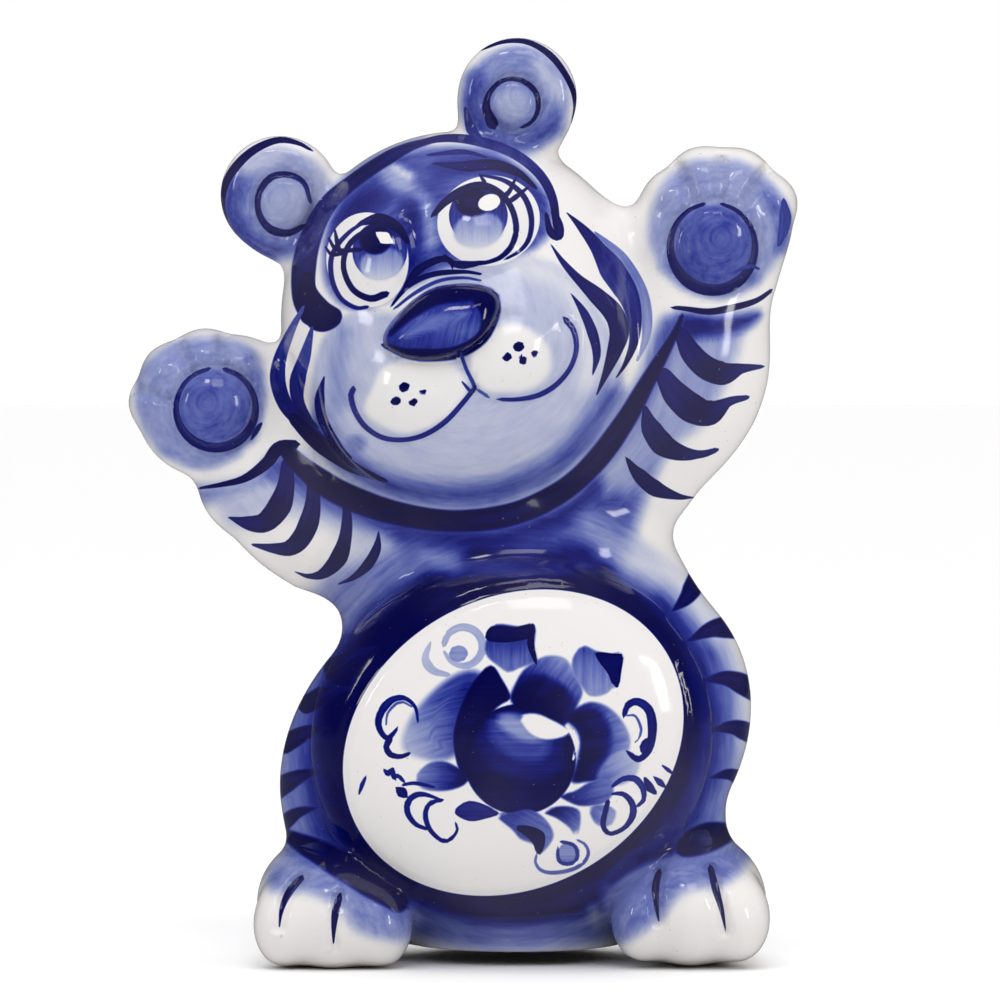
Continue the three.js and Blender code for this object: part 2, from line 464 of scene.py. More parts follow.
# ------------------------------------------------------------------ marks
@dataclass(frozen=True)
class Stroke:
    """One pull of the brush: a path, half-widths and ink spaced evenly along it."""

    MOST_TURN = 150.0  # degrees that one piece turns before the next one starts

    path: Spots
    width: tuple[float, ...]
    ink: tuple[float, ...] = (0.95,)
    side: Side = Side.FRONT
    soft: float = CRISP

    def pieces(self) -> list[tuple[np.ndarray, np.ndarray, np.ndarray, float]]:
        """The dense path, cut so often that no piece passes beside itself.

        Returns:
            Path, half-widths, ink and starting length of each piece.
        """
        path = flowing(self.path)
        step = np.diff(path, axis=0)
        size = np.maximum(np.hypot(step[:, 0], step[:, 1]), TINY)
        length = np.concatenate([[0.0], np.cumsum(size)])
        t = length / length[-1]
        width = np.interp(t, np.linspace(0, 1, len(self.width)), self.width)
        ink = np.interp(t, np.linspace(0, 1, len(self.ink)), self.ink)
        heading = np.unwrap(np.arctan2(step[:, 1], step[:, 0]))
        turned = np.concatenate([[0.0], np.cumsum(np.abs(np.diff(heading)))])
        number = np.floor(turned / math.radians(self.MOST_TURN)).astype(int)
        out = []
        for n in np.unique(number):
            rows = np.flatnonzero(number == n)
            span = slice(rows[0], rows[-1] + 2)
            out.append((path[span], width[span], ink[span], float(length[rows[0]])))
        return out

    def lay(self, q: np.ndarray, piece: tuple) -> np.ndarray:
        """Marks points beside one piece.

        Args:
            q: points on the painter's plane.
            piece: one of pieces().

        Returns:
            Rows of distance across, half-width, length along, and ink. Past an end
            the half-width is cut so that half-width less distance across stays the
            width less the true distance, which rounds the end.
        """
        path, width, ink, start = piece
        dist, across, length = along_path(q, path)
        step = np.diff(path, axis=0)
        at = np.concatenate([[0.0], np.cumsum(np.hypot(step[:, 0], step[:, 1]))])
        w = np.interp(length, at, width)
        w = w - dist + np.abs(across)
        return np.stack([across, w, start + length, np.interp(length, at, ink)], 1)

    def reach(self) -> float:
        """Largest half-width."""
        return max(self.width)


@dataclass(frozen=True)
class Patch:
    """A filled shape. Its ink runs evenly from one spot to another."""

    outline: Spots
    ink: tuple[float, ...] = (0.95,)
    run: Spots = ((0.0, 0.0), (1.0, 0.0))
    side: Side = Side.FRONT
    soft: float = CRISP

    def pieces(self) -> list[np.ndarray]:
        """The dense closed outline, as the only piece."""
        return [flowing(self.outline, closed=True)]

    def lay(self, q: np.ndarray, piece: np.ndarray) -> np.ndarray:
        """Marks points by how deep they lie in the shape.

        Args:
            q: points on the painter's plane.
            piece: the dense outline.

        Returns:
            Rows of nought, depth inside as half-width, place across the run as length,
            so that bristle streaks follow the run, and ink.
        """
        depth = inside_depth(q, piece)
        a, b = np.array(self.run[0]), np.array(self.run[1])
        size = float(np.hypot(*(b - a)))
        t = np.clip(((q - a) @ (b - a)) / size**2, 0, 1)
        beside = ((q[:, 0] - a[0]) * (b - a)[1] - (q[:, 1] - a[1]) * (b - a)[0]) / size
        ink = np.interp(t, np.linspace(0, 1, len(self.ink)), self.ink)
        return np.stack([np.zeros(len(q)), depth, beside / STREAK_PITCH, ink], 1)

    def reach(self) -> float:
        """A patch reaches no further than its outline."""
        return 0.0


@dataclass(frozen=True)
class Wash:
    """Thin ink with a soft edge: a filled outline, or a band when width is given."""

    STEPS = 4  # dense points for each given one, fewer than a crisp mark needs

    outline: Spots
    ink: float
    soft: float = 3.0
    width: float = 0.0
    side: Side = Side.FRONT

    def cover(self, q: np.ndarray) -> np.ndarray:
        """Share of the wash, by a smooth step of the depth over soft.

        Args:
            q: points on the painter's plane.

        Returns:
            One share per point, 0 to 1.
        """
        if self.width:
            depth = self.width - along_path(q, flowing(self.outline, steps=self.STEPS))[0]
        else:
            depth = inside_depth(q, flowing(self.outline, closed=True, steps=self.STEPS))
        return smooth_step(depth / self.soft + 0.5)


class Painting:
    """Marks sorted into layers, so that no two marks share a point in one layer.

    A layer holds four numbers per point: distance across the mark, half-width, length
    along it, and ink. The shader turns half-width less distance into an edge that runs
    CRISP to either side, so a softer mark keeps both divided by how much softer it is.
    """

    OWN = -1.7  # a mark fills points this far outside its edge, so that edges stay true
    CLEAR = -3.4  # and keeps other marks of its layer this far away
    SHOWN = -0.2  # a later mark that comes this near goes into a higher layer
    NOTHING = (0.0, -30.0, 0.0, 0.0)
    FADED = 4.0  # taken off the half-width of a mark where it has faded out
    SPARE = 2.0  # added round a wash when its points are picked

    def __init__(
        self, spots: dict[Side, np.ndarray], rows: dict[Side, np.ndarray], count: int
    ) -> None:
        """Keeps where each half's points lie.

        Args:
            spots: painter's plane coordinates of each half's points.
            rows: their row numbers in the mesh.
            count: number of points in the mesh.
        """
        self.spots, self.rows, self.count = spots, rows, count
        self.fade = {side: np.zeros(len(found)) for side, found in rows.items()}
        self.layers: list[np.ndarray] = []
        self.taken: list[np.ndarray] = []
        self.shown: list[np.ndarray] = []
        self.thin = np.zeros(count, np.float32)

    def add(self, mark: Stroke | Patch) -> None:
        """Adds one mark above every earlier mark that it covers.

        Args:
            mark: the stroke or patch.
        """
        q, rows = self.spots[mark.side], self.rows[mark.side]
        for piece in mark.pieces():
            path = piece[0] if isinstance(mark, Stroke) else piece
            pad = mark.reach() + mark.soft - self.CLEAR
            low, high = path.min(0) - pad, path.max(0) + pad
            near = np.flatnonzero(np.all((q > low) & (q < high), axis=1))
            if not len(near):
                continue
            values = mark.lay(q[near], piece)
            values[:, 1] -= self.fade[mark.side][near] * self.FADED
            edge = values[:, 1] - np.abs(values[:, 0])
            values[:, :2] *= CRISP / mark.soft
            mine = edge > self.OWN - mark.soft
            clear, own = rows[near[edge > self.CLEAR - mark.soft]], rows[near[mine]]
            seen = rows[near[edge > self.SHOWN - mark.soft]]
            number = 0
            for below, shown in enumerate(self.shown):
                if shown[seen].any():
                    number = below + 1
            while number < len(self.layers) and self.taken[number][clear].any():
                number += 1
            if number == len(self.layers):
                self.layers.append(np.tile(np.float32(self.NOTHING), (self.count, 1)))
                self.taken.append(np.zeros(self.count, bool))
                self.shown.append(np.zeros(self.count, bool))
            self.layers[number][own] = values[mine]
            self.taken[number][own] = True
            self.shown[number][seen] = True

    def flood(self, wash: Wash) -> None:
        """Lays a wash over the thin ink: ink moves towards the wash's by its cover.

        Args:
            wash: the wash.
        """
        q, rows = self.spots[wash.side], self.rows[wash.side]
        edge = np.array(wash.outline)
        pad = wash.soft + wash.width + self.SPARE
        near = np.flatnonzero(np.all((q > edge.min(0) - pad) & (q < edge.max(0) + pad), axis=1))
        if len(near):
            at = rows[near]
            cover = wash.cover(q[near]) * (1 - self.fade[wash.side][near])
            self.thin[at] += (wash.ink - self.thin[at]) * cover


# ------------------------------------------------------------------ outlines used twice
NOSE_OUTLINE: Spots = (
    (-13.3, 104), (-12.6, 106.5), (-9.5, 110), (-5, 113), (0, 113.7), (3.5, 113.3), (5.7, 111.5),
    (5.8, 109), (4.5, 106), (2, 103.5), (-1, 101.8), (-5, 101), (-9, 101.2), (-12, 102.5),
)
PHILTRUM: Spots = ((-0.3, 101.8), (0.5, 99.5), (1.5, 97.5), (1.9, 96.5))
LEFT_SMILE: Spots = (
    (1.8, 96.3), (0, 94), (-3, 90.8), (-6.5, 88.6), (-10, 87.8), (-13.5, 88.2), (-16.3, 90),
    (-18, 92.5), (-18.7, 95), (-18.3, 96.3),
)
RIGHT_SMILE: Spots = (
    (1.9, 96.3), (3.6, 95.2), (6, 94.5), (9, 94.5), (12.5, 95.2), (15.5, 97), (17.8, 99.8),
    (18.8, 103), (18.3, 106), (17, 107.7),
)
BELLY_OVAL = (8.3, 37.4, 29.6, 24.1, 29.5)  # middle, radii and tilt of the white oval
BELLY_RIM: Spots = hoop(8.3, 37.4, 29.9, 24.4, 29.5)
TOE_LINES: tuple[Spots, ...] = (
    ((-27, 14.8), (-29, 12.5), (-30.2, 9.8), (-30.6, 6.8)),
    ((-20.6, 11.8), (-21.2, 9.5), (-21.5, 7), (-21.6, 3.9)),
    ((32.6, 15.7), (32, 13.5), (32.1, 10.5), (32.5, 7.8)),
    ((41.2, 16.4), (42, 13), (43, 9.5), (43.6, 6.3)),
)


# ------------------------------------------------------------------ painting
def head_washes() -> list[Wash]:
    """Soft ink on the forehead, face and ears.

    Returns:
        The washes, from the bottom up.
    """
    return [
        Wash(((-23.5, 118), (-21.5, 127), (-14, 134.3), (-5, 136.8), (4, 136.4), (10.5, 132.5),
              (14.6, 127), (13.5, 121), (6, 117), (-3, 116), (-9, 113), (-17, 109.5), (-22, 112)),
             0.66, 2.5),
        Wash(((-22.5, 120), (-20, 127), (-15, 130.5), (-12.5, 128), (-17, 124), (-20, 119)), 0.85,
             3),
        Wash(((-12.8, 132.6), (-9.5, 129.8), (-6.5, 126.5), (-5.5, 121)), 0.38, 2.4, 1.4),
        Wash(((-9, 127), (-8.3, 121), (-8.2, 116.5)), 0.85, 3, 1.6),
        Wash(((-4, 133.4), (2, 133.6), (8, 132), (12.3, 128)), 0.75, 2.5, 1.4),
        Wash(((-11.5, 133.4), (-9, 131.8)), 0.14, 1.8, 0.7),
        Wash(((-24, 104), (-20, 108.5), (-14, 109), (-10, 109.5), (-3, 116), (3, 117.6),
              (9, 118.4), (15.5, 117), (20.5, 112.5), (24.4, 106), (26.8, 98), (24, 90.5),
              (18, 83.6), (10, 78.4), (0, 76.4), (-11, 78.0), (-19.6, 82), (-25, 87.4),
              (-25.6, 96)), 0.22, 1.6),
        Wash(((9, 116.5), (15, 114.8), (19, 110.5), (21.2, 104), (20.5, 97)), 0.12, 4, 1.8),
        Wash(((-24, 90), (-20, 84.6), (-12, 80.2), (0, 78.4), (10, 80.6), (18, 85.8), (24.6, 95)),
             0.64, 5, 1.8),
        Wash(((-17, 82.6), (-10, 79.6), (0, 78), (8, 79.6)), 0.7, 3, 0.6),
        Wash(((-20, 105.5), (-21, 99), (-20.5, 94)), 0.4, 4, 1.2),
        Wash(((-15, 96.5), (-13, 100), (-8, 100.8), (-3, 100.8), (0, 98.4), (0.4, 95), (-2, 92),
              (-6, 89.8), (-10, 89), (-14, 90.4), (-16.4, 93)), 0.02, 1.6),
        Wash(((1.6, 102.6), (5.6, 106.5), (10, 106.6), (13.8, 103.6), (14.4, 99.5), (11.5, 96.4),
              (6, 95.7), (2.6, 96.6), (1.2, 99.4)), 0.02, 1.8),
        Wash(((-18.5, 87), (-17.6, 87.2)), 0.45, 1.6, 1.4),
        # paler band inside the brow on the upper left of the forehead: a painted highlight
        Wash(((-7, 138), (-14, 135.6), (-20, 131.4), (-24.4, 126), (-27, 118), (-27, 111)), 0.5, 3,
             0.6),
        # ears
        Wash(ring(-31, 128.2, 8.6, 8.6), 0.36, 2.5),
        Wash(((-37, 131), (-38.2, 126.5), (-36, 122), (-31.5, 119.8), (-26.5, 121)), 0.62, 4, 1.5),
        Wash(((-38.8, 131), (-39.6, 126.5), (-37, 121.4), (-32, 119.2)), 0.8, 3, 0.7),
        Wash(((-36, 134), (-31, 136)), 0.22, 3, 1.2),
        Wash(((-25.4, 134), (-23.4, 130), (-23.6, 126)), 0.24, 3, 0.8),
        Wash(ring(-29.6, 127.4, 3.4, 3.4), 0.3, 2.2),
        Wash(ring(9, 145.4, 8.8, 8.6), 0.42, 2.5),
        Wash(((2.0, 148), (1.6, 142.6), (4.5, 138.6), (10, 137.6), (15, 140.5)), 0.66, 4, 1.6),
        Wash(((1.8, 148), (1.2, 144), (3.0, 140.4)), 0.76, 2.5, 0.5),
        Wash(((13, 150.5), (16, 146)), 0.24, 3, 1.4),
        Wash(ring(8.2, 144.2, 2.6, 2.6), 0.28, 2.2),
    ]


def limb_washes() -> list[Wash]:
    """Soft ink on the arms, paws and feet.

    Returns:
        The washes, from the bottom up.
    """
    return [
        Wash(((-45, 78.6), (-39, 79.2), (-34, 81), (-30.5, 84), (-27, 84)), 0.5, 4.5, 1.4),
        Wash(((-38, 76), (-30, 78), (-22, 76), (-16, 72)), 0.22, 6, 3.0),
        # darker from the chin's shadow band over the top of the left arm: painted shadow under the
        # chin
        Wash(((-31, 83), (-25, 79.4), (-16, 75.4), (-8, 73)), 0.72, 5, 1.8),
        Wash(((33, 107), (46, 107), (44, 98), (40, 90.5), (33, 85.5), (27, 79), (22, 84),
              (29, 94)), 0.34, 4),
        Wash(((36, 109), (42, 108.3), (49.5, 109.3), (47.5, 106.6), (42, 105.2), (37, 105)), 0.9,
             3),
        Wash(((34.6, 107), (32, 100), (27.5, 92), (22.5, 85)), 0.7, 5, 1.2),
        Wash(((-55.4, 97), (-53, 101.5), (-47.5, 104.8), (-41, 105.2), (-36, 103.6), (-33.6, 99.5),
              (-33.6, 94), (-35, 89), (-39, 84.6), (-44, 83), (-49.5, 85), (-54, 89.5)), 0.37,
             3.0),
        Wash(((-36, 101.5), (-34.6, 95), (-36, 88.6)), 0.5, 3, 1.1),
        Wash(((-50, 86.5), (-44, 84.6), (-38.5, 86)), 0.42, 3, 1.1),
        Wash(((31, 121), (31.6, 127), (34, 131.6), (38, 134.6), (42, 134.8), (46.5, 134.6),
              (51, 131.6), (54, 127.5), (54.6, 122), (52, 117), (48, 113.6), (43, 112),
              (38, 113.4), (33.5, 116.6)), 0.37, 3.0),
        Wash(((34, 117), (38, 113.8), (43.5, 112.8), (48.5, 115)), 0.5, 3, 1.1),
        Wash(((50.8, 128.5), (53.6, 125), (53.2, 120.5)), 0.6, 2.5, 1.1),
        Wash(ring(-41.5, 93.2, 6.4, 6.4), 0.6, 1.5),
        Wash(((-45.5, 91), (-42.6, 88.2), (-38.6, 89)), 0.6, 3, 1.0),
        Wash(ring(41.7, 120.2, 7.2, 6.9), 0.62, 1.5),
        Wash(((37, 118.5), (39.5, 115.2), (44, 114.8)), 0.66, 3, 1.2),
        Wash(((-33, 15.4), (-30, 18), (-25, 18), (-19.5, 15.6), (-13.5, 11.6), (-8.4, 9),
              (-7.4, 6.4), (-13, 5), (-18, 6.6), (-20.6, 10.6), (-25.4, 12.6), (-31.8, 12.6)),
             0.42, 3.5),
        Wash(((-29, 19), (-22, 16.2), (-16, 13.2), (-11, 9.4)), 0.55, 3.5, 1.0),
        Wash(((24, 13.6), (29.5, 18.6), (38, 18.2), (47, 20), (48, 17.6), (43, 13.8), (36, 13.2),
              (33.2, 9), (28.6, 5.4), (24.6, 4.4), (23, 9.6)), 0.5, 3.5),
        Wash(((31, 17.2), (38, 17.4), (45, 19)), 0.5, 3, 0.9),
    ]


def body_washes() -> list[Wash]:
    """Soft ink round the belly, on the chest and on the sides.

    Returns:
        The washes, from the bottom up.
    """
    return [
        Wash(((-25, 62), (-30.5, 44), (-32.6, 30), (-29.5, 18.5), (-20, 11), (-8, 4.4), (8, 3),
              (22, 4), (34, 12), (44.5, 21), (46.6, 36), (45.8, 48), (40, 60), (31, 68), (22, 74),
              (0, 74), (-14, 70)), 0.48, 7),
        Wash(ring(8.2, 37.2, 36.0, 31.6, 24.0), 0.85, 6),
        Wash(ring(7.8, 38.0, 32.9, 28.4, 27.0), 1.0, 3.5),
        Wash(((-21.5, 36), (-20, 47), (-12.6, 57.6), (-2, 64), (11, 66.4), (22, 64.5)), 1.0, 4,
             3.0),
        Wash(((-9, 12.6), (0, 9.4), (9, 8.4), (19, 9.6), (28, 14)), 1.0, 3, 1.4),
        Wash(((-9, 8.6), (4, 5), (22, 6)), 0.55, 4, 1.6),
        Wash(((21.6, 9.4), (22.4, 7)), 0.14, 4, 0.4),
        Wash(((-13, 75.4), (-2, 72.4), (9, 73), (19, 77.6), (27.5, 86), (34, 97), (36.8, 104),
              (35.8, 92), (31, 80), (27, 70.5), (17, 66.4), (2, 66), (-9, 68.4)), 0.62, 4.5),
        Wash(((2, 69), (12, 68), (20, 68.6)), 0.95, 5, 1.8),
        Wash(((-7, 69.4), (-2, 67.2)), 0.42, 4, 1.4),
        Wash(((22, 74), (25.5, 82), (29, 90)), 0.72, 5, 1.2),
        # dark band just under the chin's line, fading down the chest: painted shadow under the
        # chin
        Wash(((-22, 77.4), (-12, 73.2), (0, 71.4), (10, 72.6), (20, 78), (28, 88)), 0.92, 5, 1.2),
        Wash(((21, 73.5), (27, 69.5), (32, 65)), 0.32, 6, 1.6),
        Wash(((29, 67.5), (36, 64.5), (42, 57)), 0.12, 6, 2.0),
        Wash(((28.6, 86.6), (24, 79)), 0.4, 2.5, 0.6),
    ]


def head_marks() -> list[Stroke | Patch]:
    """Crisp brush work on the head.

    Returns:
        The marks, from the bottom up.
    """
    marks: list[Stroke | Patch] = [
        # brow and outline of the head
        Stroke(((-4, 138.3), (-9, 137), (-14, 134.3), (-19, 130.8), (-23, 127), (-25.5, 122),
                (-26.7, 117), (-26.7, 112), (-25.5, 109)), (0.3, 1.2, 1.3, 1.7, 2.1, 2.0),
               (0.85, 0.95, 0.85, 1.0), soft=0.2),
        Stroke(((-11, 136.6), (-4, 138.4), (2, 138), (8, 136), (12.4, 132.6), (14.8, 128.4),
                (15.6, 123)), (0.2, 0.7, 0.9, 0.9, 0.8, 0.6), (0.95, 0.8, 0.95)),
        Stroke(((-6, 135.5), (0, 136), (4, 135)), (0.2, 0.5, 0.2), (0.85,)),
        Stroke(((-5, 134), (0, 133.5), (5, 133.8), (9, 132.5), (12, 130)), (0.2, 1.0, 0.9, 0.3),
               (0.9, 0.98)),
        Patch(((-28.0, 112.4), (-27.0, 115.5), (-25.2, 115.8), (-24.6, 113.2), (-22.6, 110.8),
               (-20.4, 109.2), (-20.6, 107.2), (-23.0, 105.9), (-25.4, 106.4), (-27.2, 108.8)),
              (1.0,), soft=0.2),
        Stroke(((13.8, 125.5), (14.5, 122.5), (15.8, 121.8), (16, 123.5), (15, 126)),
               (0.3, 0.8, 0.5), (0.95,)),
        # eyes
        Patch(ring(-16.0, 117.8, 6.9, 8.0, 8), (0.03,)),
        Patch(ring(4.2, 124.3, 8.6, 7.6, 14), (0.03,)),
        Patch(ring(-13.9, 119.2, 4.6, 4.8), (0.92, 0.6), ((-14, 124), (-14, 115))),
        Patch(ring(-13.6, 117.0, 3.7, 2.8, 10), (0.5, 0.12), ((-14, 120), (-14, 114)), soft=0.45),
        Patch(ring(-14.6, 121.2, 2.7, 2.6), (0.98,), soft=0.35),
        Patch(ring(2.5, 125.1, 4.9, 4.9), (0.92, 0.62), ((2, 130), (2, 120))),
        Patch(ring(2.5, 122.6, 4.2, 3.1, 10), (0.5, 0.1), ((2, 126), (2, 119)), soft=0.45),
        Patch(ring(1.6, 127.3, 2.9, 2.4), (0.98,), soft=0.35),
        Stroke(((-17.6, 123.8), (-14, 124.6), (-11, 123.2), (-9.3, 120.8)), (0.3, 1.0, 0.9, 0.4),
               (1.0,)),
        Stroke(((-13, 124.2), (-18.5, 121), (-20, 117), (-18.5, 113), (-15.5, 111.3), (-13, 112)),
               (0.3, 0.5, 0.45, 0.5, 0.6), (0.95,)),
        Stroke(((-15.5, 124.6), (-19, 122.5), (-21.8, 119), (-22, 115), (-20.5, 111.5),
                (-18, 109.8), (-16, 109.9)), (0.2, 0.4, 0.45, 0.4, 0.3), (0.85, )),
        Stroke(((-22.5, 121.5), (-21, 119.5), (-17, 119.5)), (0.2, 0.4, 0.35), (0.95,)),
        Stroke(((-21.5, 123), (-21, 120.5), (-20.5, 119)), (0.15, 0.4, 0.3), (0.95,)),
        Stroke(((-23, 120), (-22, 118.8), (-20, 118.9)), (0.15, 0.35, 0.3), (0.95,)),
        Stroke(((-5, 125.2), (-3, 127.4), (0, 129.4), (3, 130.2), (6, 129), (8, 126.4), (8.8, 123),
                (8, 120), (6, 118), (3, 117)), (0.4, 0.8, 0.7, 0.5, 0.5, 0.45, 0.3), (1.0, 0.9)),
        Stroke(((3, 132), (7, 131), (10, 128.5), (11.3, 125), (11, 121.5), (9.5, 119.3),
                (7, 117.8)), (0.2, 0.45, 0.5, 0.4, 0.2), (0.9, )),
        Stroke(((8.7, 131.5), (7.5, 129), (5.5, 127.5), (5, 126)), (0.2, 0.45, 0.3), (0.95,)),
        Stroke(((10.8, 130), (9, 128.5), (7.5, 127.5), (6, 127.8)), (0.2, 0.45, 0.3), (0.95,)),
        Stroke(((2.8, 132), (3.5, 130.8)), (0.2, 0.35), (0.95,)),
        Stroke(((-3, 118.3), (-1.5, 117), (1, 116.9), (3.4, 117.3)), (0.3, 0.7, 0.3), (0.95,)),
        # the white teardrop and oval in the eyes are a painted highlight: the lamps mirrored in
        # the glaze
        Stroke(((-14.0, 122.0), (-12.2, 120.8)), (0.5, 1.15, 0.5), (0.0,)),
        Patch(ring(4.3, 127.3, 1.9, 1.4, 20), (0.0,)),
        # bridge and nose
        Stroke(((-10, 112.7), (-7.5, 116), (-4, 117.8), (-2, 117.5), (-1.8, 116.4)),
               (0.3, 0.7, 0.6, 0.3), (0.98,)),
        Stroke(((-12, 110), (-9, 113.5), (-5, 115.3), (0, 115.7), (3, 115.3)), (0.2, 0.5, 0.45,
                                                                                0.2), (0.95, )),
        Stroke(((-11.5, 109.5), (-8, 112.2), (-4, 114.2), (0, 114.7), (3, 114.2)),
               (0.2, 0.35, 0.3, 0.2), (0.7,)),
        # the nose's ink is paler across its middle, a painted highlight over the dark cobalt
        Patch(NOSE_OUTLINE, (0.86, 0.62, 0.9), ((-5, 100.5), (-2, 113))),
        Stroke(((-12.0, 105.4), (-9, 108.6), (-5, 111.2), (0, 112.2), (4, 111.8)),
               (0.5, 1.3, 1.5, 1.2), (0.97,), soft=0.4),
        # darkest ink along the nose's right end and underside: cobalt, and painted shade of the
        # crease round the nose
        Patch(((1.4, 111.6), (4.8, 112), (5.6, 110), (4.4, 106.6), (2.6, 104.6), (3.0, 108.4)),
              (1.0,), soft=0.4),
        Stroke(((-13, 103.4), (-9, 102), (-4, 101.8), (0, 102.6), (3.4, 105), (5.2, 109),
                (5.0, 111.4)), (0.4, 1.0, 1.0, 1.0, 0.9), (1.0, ), soft=0.25),
        # soft pale streak across the nose: painted highlight on the glaze
        Stroke(((-9.5, 105), (-5, 107), (0.5, 108.6)), (0.3, 1.0, 0.3), (0.5,), soft=0.9),
        # mouth
        Stroke(PHILTRUM, (0.3, 0.35), (0.7,)),
        Stroke(((0, 97.2), (1, 96)), (0.2, 0.3), (0.8,)),
        Stroke(LEFT_SMILE, (0.4, 0.45, 0.4, 0.45, 0.5), (0.8,)),
        Stroke(((2.5, 96), (4, 95)), (0.25, 0.3), (0.6,)),
        Stroke(RIGHT_SMILE[2:], (0.3, 0.45, 0.4, 0.5), (0.8,)),
    ]
    for x, v, r in ((-9.8, 96.5, 1.0), (-11.2, 94.2, 0.9), (-8.3, 94, 0.8), (-6.7, 95.6, 0.7),
                    (9.2, 103.2, 1.0), (7.3, 101.5, 0.9), (10, 100.9, 0.8), (11.8, 102, 0.7),
                    (9.4, 101.7, 0.5)):
        marks.append(Patch(ring(x, v, r, r * 0.85, 20, 8), (1.0,)))
    marks += [
        # cheeks, to the left and to the right
        Stroke(((-26.8, 110), (-29, 106), (-30.7, 102), (-31.2, 98), (-30, 94), (-27.5, 91),
                (-25, 89), (-23, 87), (-20, 84.5)), (0.3, 0.9, 1.3, 1.2, 0.9, 0.6), (0.6, 0.9,
                                                                                     0.85)),
        Stroke(((-25.3, 106.5), (-26.5, 102), (-27.8, 98), (-27.8, 94.5), (-26, 91.5),
                (-24.5, 90)), (0.3, 1.0, 1.4, 0.9, 0.2), (0.7, 0.95)),
        Stroke(((-23.2, 98.5), (-24, 95), (-23.8, 92), (-22.5, 89), (-20.5, 86.2), (-19, 84.8)),
               (0.1, 0.9, 0.9, 0.8, 0.4), (0.92,)),
        Stroke(((-28.4, 91.4), (-25.5, 88.4), (-21.5, 85.2), (-18, 83), (-13, 81)),
               (1.0, 1.4, 1.0, 0.3), (1.0,)),
        Stroke(((22, 122.5), (26, 119), (29, 114.5), (30.5, 110), (30.5, 105), (29, 101)),
               (0.2, 0.9, 1.0, 0.9, 0.2), (0.5, 0.35)),
        Stroke(((17.3, 125.7), (19.5, 123.5), (22, 120.5), (25, 116), (27.5, 112), (28.6, 108),
                (28.4, 104), (27, 100.5), (25.5, 98.2)),
               (0.1, 0.8, 1.3, 2.2, 2.0, 1.4, 0.9, 0.5, 0.1), (0.95, 0.8, 0.98)),
        Stroke(((14.6, 120.3), (16.5, 117.5), (19, 114.7), (22, 112), (25, 109), (26, 106),
                (25.3, 103), (24, 99.5), (22.2, 95.3)),
               (0.1, 0.5, 0.8, 1.4, 1.7, 1.7, 1.2, 0.6, 0.1), (0.9, 0.98)),
        Stroke(((18, 112), (20, 109), (21.5, 105.5), (22.2, 102), (21.5, 98.5)),
               (0.1, 0.7, 0.9, 0.7, 0.1), (0.9,)),
        # shadow line under the chin
        Stroke(((-30, 86.4), (-26.6, 83), (-20.6, 79), (-12, 75.8), (-2, 74.3), (8, 75.4),
                (16, 79), (22, 84.2), (27, 91), (31, 98), (35, 105), (36.5, 108.5)), (1.2, 2.0,
                                                                                      2.1, 1.9,
                                                                                      1.8, 1.9,
                                                                                      1.9, 1.8,
                                                                                      1.8, 1.5,
                                                                                      1.0, 0.3),
               (1.0, 0.97, 1.0), soft=0.3),
        # ears
        Stroke(((-25.5, 136.5), (-28, 137.8), (-31.5, 138.2), (-36, 136), (-39.5, 132),
                (-40.6, 128), (-39.8, 124)), (0.2, 0.55, 0.7, 0.8, 0.6, 0.3), (0.98, )),
        Stroke(((-25.7, 127.8), (-26.8, 131), (-29.5, 132.4), (-32.5, 131.8), (-34.4, 129),
                (-34.3, 125.8), (-32.5, 123.3), (-29.5, 122.6), (-26.8, 123.8)),
               (0.3, 0.5, 0.6, 0.5, 0.7, 0.4), (0.9,)),
        Stroke(((3, 153.5), (7, 154.8), (11, 154.6), (15, 152), (18, 147.5), (18.8, 144),
                (18.3, 141)), (0.2, 0.45, 0.6, 0.5, 0.3), (0.98, )),
        Stroke(((4.8, 141.0), (3.8, 143.5), (4.3, 146), (6.5, 148.1), (9.5, 148.2), (12, 146.3),
                (12.5, 143.5), (11.5, 141.3), (9.6, 140.2)), (1.0, 0.5, 0.35, 0.5, 0.4, 0.25),
               (0.95, )),
        Stroke(((0.3, 143.5), (1.3, 140), (3.6, 137.4)), (0.3, 0.9, 0.3), (0.8,)),
    ]
    return marks


